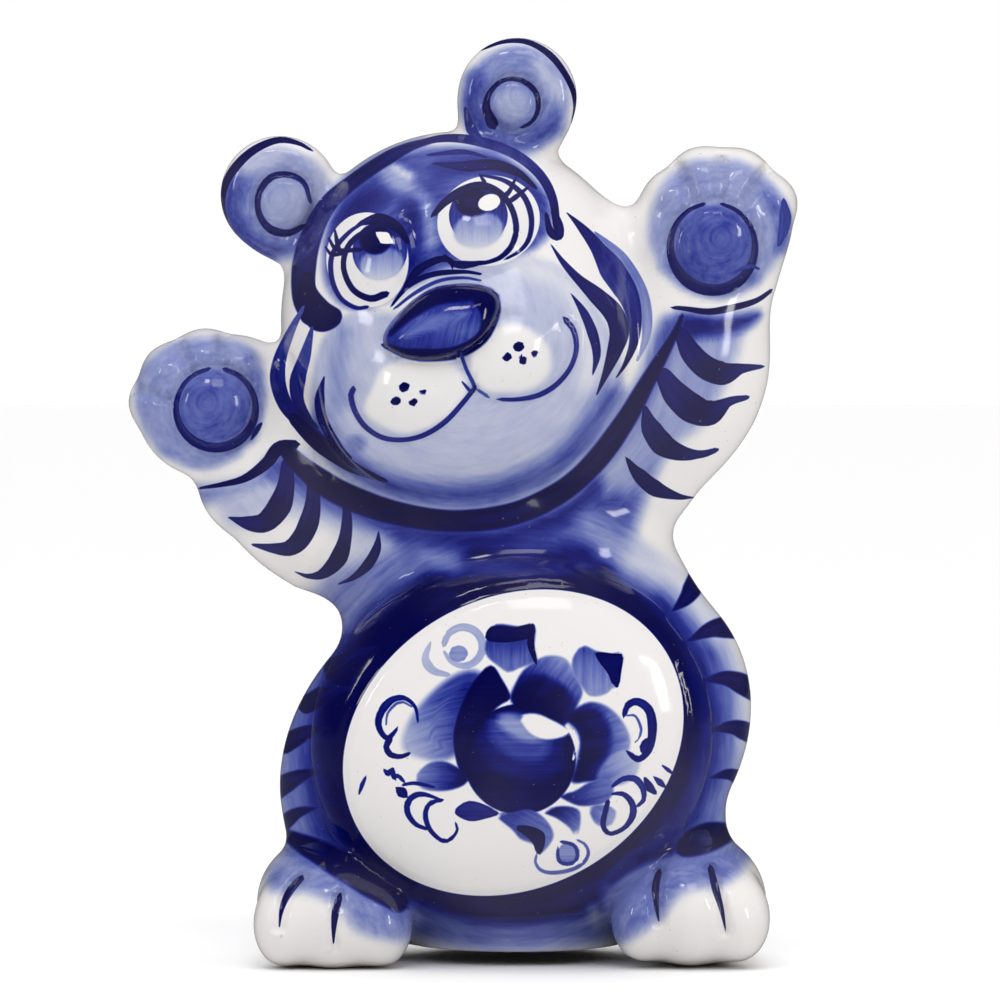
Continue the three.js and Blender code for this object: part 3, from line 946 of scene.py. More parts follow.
def limb_marks() -> list[Stroke | Patch]:
    """Stripes on the arms, and the lines of the paws and feet.

    Returns:
        The marks, from the bottom up.
    """
    stripes = (
        (((-39.5, 74.9), (-36.5, 74), (-33.5, 74), (-31, 76.5), (-29.8, 80), (-29.5, 84)),
         (0.1, 1.2, 1.8, 2.0, 1.4, 1.0)),
        (((-35.5, 70.3), (-32, 69.7), (-29, 69.8), (-26.8, 72), (-25.5, 75.5), (-25.2, 79),
          (-25.5, 82)), (0.2, 0.9, 1.6, 1.7, 1.2, 0.8)),
        (((-28.2, 65.7), (-26, 65), (-23.5, 65.5), (-21, 68), (-19.8, 71.5), (-19.5, 75),
          (-19.7, 77)), (0.1, 0.5, 1.1, 1.5, 1.1, 0.9, 0.6)),
        (((-21, 63.7), (-18.5, 64.8), (-16, 67), (-14.5, 69.8), (-14.2, 72.5)),
         (0.1, 0.5, 0.9, 0.8, 0.1)),
        (((50, 100.2), (46.5, 99.8), (43.5, 99), (40.5, 100), (38, 102.5), (36.5, 105.5)),
         (0.3, 0.8, 2.0, 2.0, 1.8, 1.2)),
        (((47.5, 95), (44.5, 94.3), (41.5, 92.5), (38.5, 93), (35.5, 95.5), (33.5, 98.5)),
         (0.4, 0.8, 2.2, 2.5, 2.2, 1.4)),
        (((42.4, 86.2), (40, 85.5), (36.8, 85.6), (33.5, 87), (31.3, 90), (30.4, 93)),
         (0.4, 0.7, 1.4, 2.0, 1.7, 0.5)),
    )
    marks: list[Stroke | Patch] = [Stroke(path, width, (0.9, 1.0, 0.9)) for path, width in stripes]
    marks += [
        Stroke(((38.6, 78.2), (36, 78.4), (32, 79.8), (29, 82.4), (27.4, 84.6)),
               (0.1, 0.7, 1.4, 1.2, 0.3), (0.97,)),
        Stroke(((-44.3, 79.8), (-40, 80.5), (-36.5, 81.5), (-33, 84), (-31, 86.6), (-28.5, 87)),
               (0.2, 0.4, 0.6, 0.9, 1.1, 0.9), (1.0,)),
        Stroke(((51.7, 113), (49, 111.2), (45, 110), (41, 109.3), (37, 109.8), (35, 110)),
               (0.3, 0.5, 0.6, 0.5, 0.3), (1.0,)),
        # paws
        Stroke(ring(-41.5, 93.2, 6.65, 6.65, 100, 16), (0.35, 0.45, 0.8, 0.8, 0.5, 0.4), (0.9,)),
        Stroke(((-34, 90.6), (-35.6, 88)), (0.3, 0.5, 0.2), (0.9,)),
        Stroke(ring(41.7, 120.2, 7.3, 7.1, 100, 16), (0.3, 0.5, 1.0, 0.9, 0.5, 0.3), (0.92,)),
        Stroke(((53.6, 128), (53.9, 124.4), (52.8, 120.4)), (0.4, 1.1, 0.9, 0.3), (0.72,)),
        Stroke(((45.5, 116), (48, 117), (49.5, 116.5)), (0.2, 0.35, 0.2), (0.7,)),
        # feet
        Stroke(((-31.0, 21.8), (-26, 19.8), (-21, 17.4), (-16, 14.4), (-10.8, 10.8)),
               (0.8, 1.7, 2.2, 2.3, 1.6), (1.0,), soft=0.45),
        Patch(((35.4, 20.2), (37.5, 22.3), (41, 23.6), (44.5, 23.2), (46.4, 21.5), (43, 19.7),
               (39, 18.5), (36.2, 18.5)), (1.0,), soft=0.4),
        Stroke(((24.5, 14.2), (29, 18), (34.4, 19.6)), (0.6, 1.5, 1.0), (0.9,), soft=0.8),
    ]
    marks += [Stroke(path, (0.5, 0.65, 0.4, 0.1), (0.97,)) for path in TOE_LINES]
    return marks


def body_marks() -> list[Stroke | Patch]:
    """The white belly oval and the stripes on both sides of the body.

    Returns:
        The marks, from the bottom up.
    """
    marks: list[Stroke | Patch] = [Patch(ring(*BELLY_OVAL, 24), (0.0,))]
    for path, width in (
        (((35.0, 59.2), (37.5, 61.5), (39.4, 64.6)), 1.7),
        (((37.6, 54.2), (42, 56.2), (46.4, 56.2)), 1.8),
        (((40.0, 47.6), (44.5, 47.8), (49.2, 45.6)), 1.8),
        (((41.4, 39.2), (45.4, 39.6), (49.2, 38)), 1.6),
        (((41.4, 31.2), (45, 31.6), (48.2, 29.6)), 1.3),
        (((-14.5, 53.4), (-18.4, 51.8), (-22, 49.4)), 1.5),
        (((-18.6, 46.6), (-22.4, 45.8), (-26.4, 43.4)), 1.5),
        (((-22.4, 40.0), (-26.4, 38.8), (-30.2, 36.6)), 1.5),
        (((-24.0, 32.6), (-28, 31.2), (-31.8, 28.8)), 1.6),
        (((-24.6, 26.2), (-28, 25.2), (-30.8, 22.8)), 1.2),
    ):
        marks.append(Stroke(path, (0.1, width * 0.6, width * 0.95, width), (0.92, 1.0), soft=0.25))
    return marks


def flower_marks() -> list[Stroke | Patch]:
    """The rose, buds, leaves and curls on the belly.

    Returns:
        The marks, from the bottom up.
    """
    marks: list[Stroke | Patch] = [
        # pale spiral and curls behind
        Stroke(ring(0, 53.5, 3.2, 3.2, 200, 13), (0.3, 0.65, 0.7, 0.5), (0.28,)),
        Stroke(((-5.5, 54), (-6.3, 51.5), (-5, 49.5), (-2.5, 48.8)), (0.3, 0.8, 0.4), (0.25,)),
        Patch(ring(-0.8, 52.3, 1.6, 1.4), (0.42,)),
        # petals
        Patch(((-10, 36.4), (-9.5, 40.5), (-6.5, 44.6), (-2.4, 48.2), (1.4, 49.6), (3.6, 48),
               (1.5, 44), (0.4, 38), (-2, 35), (-6, 34.6)), (0.26, 0.55, 0.7), ((-9, 38),
                                                                                (1.5, 42)),
              soft=0.8),
        Patch(((-5, 38), (-4.4, 42), (-1.6, 46), (1.6, 48.6), (2.6, 46), (0.4, 41.4), (-0.6, 37)),
              (0.5, 0.8), ((-5, 41), (1, 42)), soft=0.7),
        Patch(((8.2, 46), (9.5, 49), (11.5, 50.8), (14, 52), (17, 51.5), (18.5, 49), (19.8, 46),
               (18.5, 43), (17.3, 41), (15.8, 39.8), (14.5, 41), (12, 42.5), (9.5, 43), (8, 44.5)),
              (0.97, 0.8, 0.34), ((10, 42.5), (17, 51.6)), soft=0.35),
        Patch(((8, 45.6), (10.4, 48.6), (13.6, 48.6), (17.6, 46), (18.2, 42.6), (15.8, 40.6),
               (12, 42.8), (9, 43.6)), (1.0, 0.9), ((10, 42.5), (16, 49)), soft=0.8),
        Patch(((17, 41.5), (18.5, 43), (21, 44.3), (24, 43.5), (26.5, 41), (27.8, 37.5), (26, 34),
               (23, 31.5), (20, 31), (18, 31), (18.8, 34), (19.5, 37), (18.8, 40)),
              (0.95, 0.7, 0.3), ((19, 37), (28, 39.4)), soft=0.4),
        Patch(((17.4, 41.6), (20.4, 43.6), (23.4, 42), (24.6, 38), (22.8, 34), (19.6, 32),
               (19.2, 35), (19.4, 38.6)), (1.0, 0.85), ((18.6, 37), (25, 38)), soft=0.8),
        Patch(((22, 31.5), (24, 35), (27, 36.4), (29.4, 34.2), (28, 31.4), (25, 30.4)),
              (0.55, 0.2), ((22, 32), (29, 35)), soft=0.5),
        Patch(ring(9.4, 34.8, 9.3, 9.2), (0.99,), soft=0.2),
        Patch(ring(9.8, 36.8, 7.0, 5.4, -24), (0.88,), soft=1.4),
        Patch(ring(9.4, 38.4, 5.4, 3.4, -24), (0.66,), soft=1.3),
        Patch(ring(9.4, 40.0, 4.0, 1.7, -24), (0.36,), soft=0.9),
        Patch(((4.4, 50.4), (6.5, 48), (7.8, 45), (5.8, 43.6), (3, 40.6), (1.2, 36.6), (1.2, 31.5),
               (-0.8, 33.4), (-1.6, 38), (-0.9, 42), (1.3, 46.9)), (1.0,), soft=0.25),
        Patch(((9.5, 42), (12, 42.4), (15, 41.2), (17.6, 39.6), (17, 38.7), (14, 38.1),
               (11.5, 38.9), (10, 40.5)), (0.0, ), soft=0.3),
        Patch(((18.0, 34.2), (19.2, 36.8), (18.9, 39), (18.1, 39.6), (18.4, 37)), (0.03,)),
        # leaves
        Patch(((-7.8, 32), (-6, 34), (-3.5, 34.5), (-1, 33.5), (1, 31.5), (-1, 30), (-4, 29.5),
               (-7, 30)), (0.4, 0.95), ((-8, 32), (0, 32)), soft=0.3),
        Patch(((-1.5, 26), (0.5, 27.8), (3, 27.5), (6, 25.8), (4, 25), (1, 24.5)), (0.85,)),
        Patch(((5.5, 25.5), (8, 26), (11, 26.5), (13.5, 25), (15, 22.5), (14.3, 20.5),
               (12.5, 18.8), (11.8, 20.5), (9.5, 21.5), (8.2, 23)), (0.75, 0.5), ((6, 25),
                                                                                  (14, 21)),
              soft=0.3),
        Patch(((8.5, 23.5), (11, 23.7), (13.5, 22.4), (13.2, 19.5), (12.2, 18.8), (11.4, 21)),
              (1.0, )),
        Patch(((13.5, 26), (16, 27), (19, 26.5), (19.5, 24.5), (18.8, 22), (17.5, 23.5),
               (15.5, 25)), (1.0, 0.4), ((14, 26), (19, 22)), soft=0.3),
        Patch(((16, 28.8), (18.5, 29.5), (21, 31), (24, 31.3), (25, 29.5), (23.5, 27.5), (20, 27),
               (18, 27.5)), (0.95, 0.45), ((16, 28), (25, 30)), soft=0.3),
        Patch(((21, 26.6), (23.4, 27.2), (25.4, 26), (24.4, 23.6), (22, 24)), (0.6, 0.3),
              ((21, 27), (25, 24)), soft=0.3),
        # buds
        Patch(((3.6, 53.5), (4.5, 56.5), (6, 57.2), (9.5, 56.8), (11.3, 57.3), (12, 56.3),
               (11.8, 53.5), (12.3, 51.3), (11.3, 50.6), (9, 49.8), (7.5, 49.2), (5.5, 50.5),
               (4, 51.8)), (0.5, 0.9), ((7, 50), (7, 57)), soft=0.3),
        Patch(((3.8, 54.6), (4.6, 56.8), (8, 56.6), (11.4, 57.2), (11.6, 55.2), (7.6, 54.2)),
              (0.98, )),
        Stroke(((11.5, 56.8), (11.2, 54), (12, 51)), (0.4, 0.6, 0.3), (1.0,)),
        Patch(((18, 51), (19, 53), (20.3, 53.6), (22, 52.8), (24.5, 52.3), (26, 52.5),
               (26.6, 51.5), (26, 49), (25.8, 47), (25, 46.8), (23.5, 45.5), (21, 45.3),
               (19.5, 47), (18.3, 49)), (0.6, 0.38), ((21, 53), (21, 46)), soft=0.3),
        Patch(((22, 52.5), (25, 52.3), (26.5, 52), (26.2, 49), (25.8, 46.8), (24.8, 47), (24, 49),
               (22.5, 51)), (0.95,)),
    ]
    curls = (
        (((-7.5, 41), (-8, 43.5), (-10, 45), (-12.3, 44.3), (-13.9, 42), (-14, 40), (-12.8, 38.3),
          (-11.6, 39), (-11, 40)), (0.2, 0.35, 0.7, 0.5, 0.3), 0.85),
        (((-8.5, 43.5), (-10.5, 44.3), (-12.5, 42.5), (-12.8, 40.5)), (0.15, 0.25, 0.15), 0.6),
        (((-12, 38.3), (-12.8, 37), (-12.2, 35.6), (-10.5, 35.2), (-9, 35.7)), (0.5, 0.5, 0.3),
         0.9),
        (((-17.3, 29), (-16.8, 30.5), (-16.2, 31.8)), (0.2, 0.4, 0.2), 0.85),
        (((-13, 32.8), (-12.5, 32.2), (-11.8, 33), (-11.5, 31.8), (-10.8, 32), (-10, 31.2)),
         (0.3, 0.45, 0.3), 0.85),
        (((-10, 30.5), (-8, 30.8), (-5, 30.2)), (0.25, 0.35, 0.25), 0.85),
        (((-10.4, 29.4), (-9.9, 29.0)), (0.8, 1.0, 0.7), 0.9),
        (((-4, 28.2), (-7, 29), (-9, 28), (-9.3, 26), (-8, 24), (-6.2, 23.2)), (0.2, 0.5, 0.5,
                                                                                0.3), 0.85),
        (((-3.5, 28), (-5.5, 27.5), (-6.3, 25.5), (-5.5, 23), (-3.5, 21.2), (-2, 21.5), (-1, 23),
          (-1.2, 24)), (0.3, 0.45, 0.35, 0.2), 0.85),
        (((26.7, 42), (27.3, 43.8), (29, 44.3), (30.8, 43), (31.4, 40.5), (31.2, 37.5),
          (30.5, 35.8), (29, 34.7), (27.5, 35.8)), (0.4, 0.7, 0.8, 0.6, 0.4), 0.88),
        (((30.4, 37.4), (30.1, 36.4)), (0.8, 1.2, 0.8), 0.9),
        (((27, 42), (28.5, 42), (29.5, 40), (29.3, 38.5), (28.5, 37.5)), (0.15, 0.25, 0.15), 0.6),
        (((33.3, 33.5), (34.2, 32.8), (34.8, 32.3)), (0.2, 0.35, 0.2), 0.85),
        (((32, 31.5), (33.4, 30.2)), (0.3, 0.6, 0.3), 0.85),
        (((30.3, 31.3), (31, 30), (31.8, 29.2)), (0.4, 0.8, 0.4), 0.9),
        (((24.8, 30.3), (26.5, 31.5), (28.5, 31.5), (29.8, 30), (30, 28), (29, 27)), (0.3, 0.6,
                                                                                      0.3), 0.8),
        (((24.8, 29), (26.5, 29), (28, 27.5), (28.2, 25.5), (27, 23.5), (25, 22.4), (23.8, 22.6),
          (23.2, 24), (23.6, 26), (24, 27.7)), (0.25, 0.5, 0.6, 0.4, 0.35, 0.5, 0.4), 0.85),
        (((12.2, 19), (12, 17.5), (13, 16.2), (15, 15.8), (18, 16.3), (20, 17.5), (20.8, 19),
          (20.3, 20.5), (19, 21.3)), (0.2, 0.35, 0.35, 0.2), 0.55),
        (((15.7, 20), (15.8, 18), (17, 17.3), (18.5, 17.6), (19, 19), (18.3, 20.5), (16.5, 21)),
         (0.25, 0.35, 0.3, 0.3), 0.75),
    )
    marks.append(Patch(ring(17.5, 19.2, 1.9, 1.7), (0.45,)))
    marks += [Stroke(path, width, (ink,)) for path, width, ink in curls]
    return marks


# ------------------------------------------------------------------ back
def back_washes() -> list[Wash]:
    """Soft ink down the back, on the head, the arms and the ears.

    Returns:
        The washes, from the bottom up.
    """
    back = Side.BACK
    return [
        Wash(((-18, 96), (-14, 122), (0, 132), (12, 129), (20, 116), (20, 96), (6, 84), (-8, 86)),
             0.26, 9, side=back),
        Wash(((-20, 20), (-22, 40), (-12, 60), (4, 76), (20, 66), (32, 52), (38, 34), (34, 16),
              (14, 8), (-6, 10)), 0.3, 9, side=back),
        Wash(((4, 88), (6, 72), (8, 52), (9, 30)), 0.62, 7, 3.0, back),
        Wash(ring(-31, 128.4, 8.4, 8.4), 0.85, 2.5, side=back),
        Wash(ring(9, 145, 8.6, 8.6), 0.85, 2.5, side=back),
        Wash(((-42, 78), (-30, 80), (-20, 76)), 0.25, 6, 3.0, back),
        Wash(((40, 108), (38, 96), (30, 84)), 0.25, 6, 4.0, back),
        Wash(ring(-42.9, 94, 8.4, 8.0), 0.22, 4, side=back),
        Wash(ring(42.9, 124.4, 8.4, 8.0), 0.22, 4, side=back),
        Wash(((-30, 17), (-21, 19), (-12, 12)), 0.4, 4, 2.0, back),
        Wash(((28, 15), (38, 20), (46, 17)), 0.4, 4, 2.0, back),
    ]


def back_marks() -> list[Stroke | Patch]:
    """Stripes in pairs down the back, across the head and arms, and a painted tail.

    Returns:
        The marks, from the bottom up.
    """
    back = Side.BACK
    marks: list[Stroke | Patch] = []
    wide = (0.2, 1.3, 1.9, 1.4, 0.2)
    slot_level = 106.2
    for v, reach, drop in (
        (67, 20, 5), (57, 25, 6), (47, 29, 6), (37, 31, 5), (28, 30, 3), (19, 26, 1),
    ):
        middle = 6.6 + (67 - v) * 0.04
        for turn in (-1, 1):
            marks.append(Stroke(
                ((middle + turn * 3.4, v + 1.6), (middle + turn * reach * 0.42, v + 2.2),
                 (middle + turn * reach * 0.75, v - drop * 0.2), (middle + turn * reach,
                                                                  v - drop)),
                wide, (0.98, 0.85), back))
    for v, reach, lift in ((127, 13, 2), (119.5, 19, 2), (93, 18, -3), (86.5, 13, -3)):
        for turn in (-1, 1):
            marks.append(Stroke(
                ((1 + turn * 3, v), (1 + turn * reach * 0.5, v + lift * 0.8),
                 (1 + turn * reach, v + lift - 3)), (0.2, 1.3, 1.6, 0.2), (0.98, 0.85), back))
    for x, v, lean in ((-22, 72, 4), (-28, 75, 4), (-34, 77.5, 3), (28, 84, -6), (34, 92, -5),
                       (39, 100, -4), (43, 107.5, -3)):
        marks.append(Stroke(((x - 3.4, v + 6.5), (x - 1.2 - lean * 0.1, v + 2), (x + 0.4, v - 2.4),
                             (x + lean * 0.5, v - 6.5)), (0.2, 1.4, 1.3, 0.2), (0.97,), back))
    tail = ((10, 12), (16, 9.6), (23.5, 12), (28.5, 19), (29, 27.5), (25, 33.5), (19.6, 34.6))
    marks.append(Stroke(tail, (2.6, 2.9, 3.0, 2.9, 2.7, 2.4, 2.2), (0.0,), back))
    marks.append(Stroke(tail, (2.0, 2.3, 2.4, 2.3, 2.1, 1.8, 1.6), (0.5, 0.35), back))
    for a, b in (
        ((14.6, 7.6), (14.0, 12.2)), ((20.8, 8.2), (18.8, 12.6)), ((26.4, 12.4), (23, 15.4)),
        ((30.4, 18.6), (26.4, 20)), ((31.2, 25.6), (27, 25.6)), ((29, 32), (25.6, 29.6)),
    ):
        marks.append(Stroke((a, ((a[0] + b[0]) / 2 + 0.3, (a[1] + b[1]) / 2), b), (0.3, 0.9, 0.3),
                            (1.0,), back))
    marks.append(Stroke(((22.6, 35), (18.4, 34.4), (16.8, 32.6)), (1.9, 2.4, 0.8), (1.0,), back))
    for x, v, spread in ((-31, 128.4, 9.2), (9, 145, 9.4)):
        marks.append(Stroke(ring(x, v, spread - 0.8, spread - 0.8, -60, 12), (0.3, 0.7, 0.7, 0.3),
                            (1.0,), back))
    rim = ((-15.4, 110.4), (-8, 111.2), (0.7, 111.4), (9, 111.2), (16.6, 110.4))
    below = tuple((x, 2 * slot_level - v) for x, v in rim)
    marks += [Stroke(path, (0.15, 0.6, 0.7, 0.6, 0.15), (0.9,), back) for path in (rim, below)]
    for x in (-23.5, -16.5, 36, 43):
        marks.append(Stroke(((x, 13), (x - 0.6, 9), (x, 5)), (0.3, 0.6, 0.1), (0.95,), back))
    return marks


# ------------------------------------------------------------------ relief
class Relief:
    """Height added to the front of the figure, as a map over the painter's plane."""

    STEP = 0.3  # spacing of the map
    LOW = (-62.0, -6.0)
    HIGH = (62.0, 162.0)
    FLAT = 1.0  # nought from this far in front of the parting plane
    FULL = 2.5  # and whole this much further on

    def __init__(self) -> None:
        """Lays out the map and adds every feature."""
        self.xs = np.arange(self.LOW[0], self.HIGH[0], self.STEP)
        self.vs = np.arange(self.LOW[1], self.HIGH[1], self.STEP)
        self.map = np.zeros((len(self.xs), len(self.vs)))
        self.eyes_and_nose()
        self.ears_and_paws()
        self.body_and_feet()

    def window(self, low: np.ndarray, high: np.ndarray) -> tuple[tuple, np.ndarray]:
        """Part of the map between two corners.

        Args:
            low: lowest corner on the painter's plane.
            high: highest corner.

        Returns:
            The part as slices, and its points.
        """
        i = slice(*np.searchsorted(self.xs, (low[0], high[0])))
        j = slice(*np.searchsorted(self.vs, (low[1], high[1])))
        grid = np.stack(np.meshgrid(self.xs[i], self.vs[j], indexing="ij"), -1)
        return (i, j), grid.reshape(-1, 2)

    def groove(self, points: Spots, width: float, height: float) -> None:
        """A rounded furrow or ridge: height times (1 - (distance / width)^2)^2.

        Args:
            points: the path.
            width: how far it reaches to either side.
            height: above the surface, negative for a furrow.
        """
        path = flowing(points)
        part, q = self.window(path.min(0) - width, path.max(0) + width)
        t = np.clip(along_path(q, path)[0] / width, 0, 1)
        self.map[part] += (height * (1 - t * t) ** 2).reshape(self.map[part].shape)

    def dome(
        self,
        at: tuple[float, float],
        radii: tuple[float, float],
        height: float,
        tilt: float = 0.0,
        power: float = 2.0,
    ) -> None:
        """An oval swelling or dish: height times (1 - r^2)^power inside r = 1.

        Args:
            at: its middle.
            radii: along the tilted axis and across it.
            height: above the surface, negative for a dish.
            tilt: degrees that the axis leans from level.
            power: how gently it runs out.
        """
        reach = max(radii)
        part, q = self.window(np.array(at) - reach, np.array(at) + reach)
        c, s = math.cos(math.radians(tilt)), math.sin(math.radians(tilt))
        x, v = q[:, 0] - at[0], q[:, 1] - at[1]
        r2 = ((x * c + v * s) / radii[0]) ** 2 + ((v * c - x * s) / radii[1]) ** 2
        bump = height * np.clip(1 - r2, 0, 1) ** power
        self.map[part] += bump.reshape(self.map[part].shape)

    def pillow(self, points: Spots, rise: float, height: float) -> None:
        """A raised shape: height times the round profile sqrt(1 - (1 - depth / rise)^2).

        Args:
            points: the outline.
            rise: how far in from the outline the full height is reached.
            height: above the surface.
        """
        path = flowing(points, closed=True)
        part, q = self.window(path.min(0) - 1, path.max(0) + 1)
        t = np.clip(inside_depth(q, path) / rise, 0, 1)
        self.map[part] += (height * np.sqrt(1 - (1 - t) ** 2)).reshape(self.map[part].shape)

    def eyes_and_nose(self) -> None:
        """Eyeballs and the dip between them, nose, philtrum, smile and whisker pads."""
        self.dome((-14.0, 118.0), (8.6, 9.4), 1.7, 10.0, 1.4)
        self.dome((3.4, 123.6), (9.6, 8.4), 1.7, 10.0, 1.4)
        self.groove(((-9.0, 124.0), (-8.2, 119.0), (-9.0, 114.0)), 2.6, -0.7)
        self.pillow(NOSE_OUTLINE, 5.2, 3.6)
        for path in (PHILTRUM, LEFT_SMILE, RIGHT_SMILE):
            self.groove(path, 1.1, -0.5)
        self.dome((-9.5, 95.0), (9.5, 7.6), 1.3, 10.0)
        self.dome((7.8, 101.0), (9.5, 7.6), 1.3, 25.0)

    def ears_and_paws(self) -> None:
        """Dished ears with a raised middle, paw pads and the clefts between toes."""
        for at, middle, r in (
            ((-31.0, 128.4), (-30.0, 127.5), 4.9),
            ((9.0, 145.2), (8.3, 144.2), 4.5),
        ):
            self.dome(at, (8.6, 8.6), -2.2, 0.0, 1.3)
            self.groove(hoop(*middle, r, r), 1.2, -0.7)
            self.dome(middle, (r, r), 1.2, 0.0, 1.0)
        for at, r in (((-41.5, 93.2), 6.9), ((41.7, 120.2), 7.4)):
            self.dome(at, (r, r), 1.5, 0.0, 0.8)
            self.groove(hoop(*at, r, r), 1.5, -0.8)
        for path in (
            ((-55.0, 96.4), (-51.5, 95.4), (-49.4, 94.6)),
            ((-47.4, 103.6), (-46.4, 101.0), (-45.6, 99.2)),
            ((-40.6, 104.6), (-40.4, 102.0), (-40.2, 99.8)),
            ((36.2, 133.6), (37.4, 130.6), (38.3, 128.2)),
            ((43.2, 134.6), (43.0, 131.2), (42.9, 128.6)),
            ((50.4, 133.0), (48.3, 129.6), (47.2, 127.8)),
        ):
            self.groove(path, 1.6, -1.0)

    def body_and_feet(self) -> None:
        """Furrows beside the belly, round its oval, and between the toes."""
        beside = ((36.0, 57.5), (41.0, 50.5), (43.2, 42.0), (42.4, 33.0), (38.8, 24.6))
        self.groove(beside, 4.2, -0.9)
        self.groove(BELLY_RIM, 1.6, -0.35)
        for path in TOE_LINES:
            self.groove(path, 1.7, -1.1)

    def height(self, p: np.ndarray) -> np.ndarray:
        """Height read from the map by straight interpolation, fading out towards the
        parting plane.

        Args:
            p: points, one row each.

        Returns:
            One height per point.
        """
        q = painter_plane(p)
        last = 1.001  # a place keeps this far off the end, so that it has a next one
        i = np.clip((q[:, 0] - self.LOW[0]) / self.STEP, 0, len(self.xs) - last)
        j = np.clip((q[:, 1] - self.LOW[1]) / self.STEP, 0, len(self.vs) - last)
        a, b = i.astype(int), j.astype(int)
        s, t = i - a, j - b
        m = self.map
        h = (m[a, b] * (1 - s) + m[a + 1, b] * s) * (1 - t)
        h += (m[a, b + 1] * (1 - s) + m[a + 1, b + 1] * s) * t
        return h * smooth_step((PARTING_Y - self.FLAT - p[:, 1]) / self.FULL)


# ------------------------------------------------------------------ porcelain
@dataclass
class PorcelainBody:
    """The slip-cast shell: rounded masses run together, hollow, with its two openings."""

    wall: float = 4.0
    # keeps the shell under the limit of triangles
    grid: float = 0.91  # spacing of the surface grid, coarse enough to keep the shell's triangles few
    margin: float = 2.0  # of the grid round the figure
    slot_reach: float = 14.2  # half the slot's straight length
    slot_radius: float = 2.8
    flange_lap: float = 2.6
    recess_clearance: float = 0.5
    rim_width: float = 2.5
    flange_thickness: float = 2.0
    seat_gap: float = 0.3
    bore_top: float = 22.0
    boss_level: float = 10.0  # middle of the boss that holds the stopper
    boss_half: float = 7.6  # half its height
    core_blend: float = 3.0
    slot_blend: float = 0.8
    recess_blend: float = 0.2
    boss_round: float = 1.0
    boss_blend: float = 1.5
    rim_round: float = 1.2  # rounding of the rims and of the edge on the floor
    relief_reach: float = 5.0  # the relief is worked out this near the surface
    masses: list[Mass] = field(init=False)

    def __post_init__(self) -> None:
        """Places the stopper's hole by the frame, and lays the masses out."""
        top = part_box("porcelain_head")[1].z
        self.scale = top / DESIGN_HEIGHT
        low, high = (v / self.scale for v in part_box("stopper"))
        self.hole = ((low.x + high.x) / 2, (low.y + high.y) / 2)
        self.flange_radius = (high.x - low.x) / 2
        self.flange_low = low.z
        self.head = Oval((0.7, PARTING_Y, 106.2), (31.2, 23.5, 33.3), HEAD_TILT)
        self.chest = Oval((7.6, PARTING_Y, 63.2), (31.0, 18.6, 25.2), -23.0, 2.4)
        self.torso = Oval((8.7, 2.8, 35.7), (41.2, 23.6, 31.5), 24.0, 5.0)
        self.hips = Oval((8.3, 2.4, 20.4), (36.0, 22.6, 17.6), 0.0, 4.0)
        self.cores = [self.head, self.chest, self.torso, self.hips]
        self.masses = self.cores + self.limbs() + self.paws() + self.ears() + self.feet()
        self.masses += self.face()
        self.masses.append(Oval((8.4, -13.2, 38.0), (34.0, 14.6, 31.0), 9.0, 2.2))
        self.relief = Relief()

    def limbs(self) -> list[Mass]:
        """Arms and the web between the head and the higher arm.

        Returns:
            The masses.
        """
        y = PARTING_Y - 0.6
        return [
            Limb((-34.1, y, 81.0), (-23.2, y, 74.3), (10.8, 12.4), 0.84, 4.0),
            Limb((-26.0, y, 76.0), (-6.0, y, 70.0), (11.0, 14.0), 0.80, 5.0),
            Limb((38.2, y, 116.0), (32.7, y, 95.8), (14.6, 16.0), 0.68, 3.0),
            Limb((32.7, y, 100.5), (20.3, y, 82.6), (18.6, 17.8), 0.62, 3.0),
            Limb((21.2, y, 116.5), (25.0, y, 105.0), (10.7, 13.0), 0.66, 3.0),
            Limb((-33.0, y, 96.0), (-29.0, y, 84.0), (7.6, 9.0), 0.8, 3.0),
        ]

    def paws(self) -> list[Mass]:
        """Raised paws with their toes.

        Returns:
            The masses.
        """
        masses: list[Mass] = []
        lower = ((-52.2, 93.8), (-49.8, 99.0), (-43.6, 101.6), (-37.4, 100.4))
        higher = ((34.6, 128.2), (39.6, 132.2), (46.6, 131.8), (51.9, 127.4))
        for centre, radius, toes in (
            ((-42.9, 1.4, 93.3), 12.3, lower),
            ((42.9, 1.4, 124.2), 12.4, higher),
        ):
            masses.append(Oval(centre, (radius, 10.4, radius), 0.0, 3.0))
            for x, z in toes:
                masses.append(Oval((x, 1.0, z), (4.1, 7.4, 4.1), 0.0, 2.0))
        return masses

    def ears(self) -> list[Mass]:
        """Ear discs, each standing on a web from the head.

        Returns:
            The masses.
        """
        return [
            Oval((-31.0, PARTING_Y, 128.6), (9.9, 7.6, 9.9), 0.0, 3.0),
            Limb((-28.0, PARTING_Y, 124.5), (-18.0, PARTING_Y, 117.0), (7.5, 11.0), 0.5, 3.0),
            Oval((9.0, PARTING_Y, 145.0), (10.0, 7.6, 10.0), 0.0, 3.0),
            Limb((8.2, PARTING_Y, 140.5), (6.0, PARTING_Y, 131.0), (8.0, 11.0), 0.5, 3.0),
        ]

    def feet(self) -> list[Mass]:
        """Feet pushed forward, three toes each.

        Returns:
            The masses.
        """
        masses: list[Mass] = []
        for x, z, lean in ((-21.8, 9.4, -12.0), (37.9, 10.4, -10.0)):
            masses.append(Oval((x, -4.6, z), (13.0, 21.0, 11.8), lean, 3.0))
            for turn in (-1, 0, 1):
                masses.append(Oval((x + turn * 8.0, -17.0, z - 2.4), (5.2, 7.6, 6.8), 0.0, 3.6))
        return masses

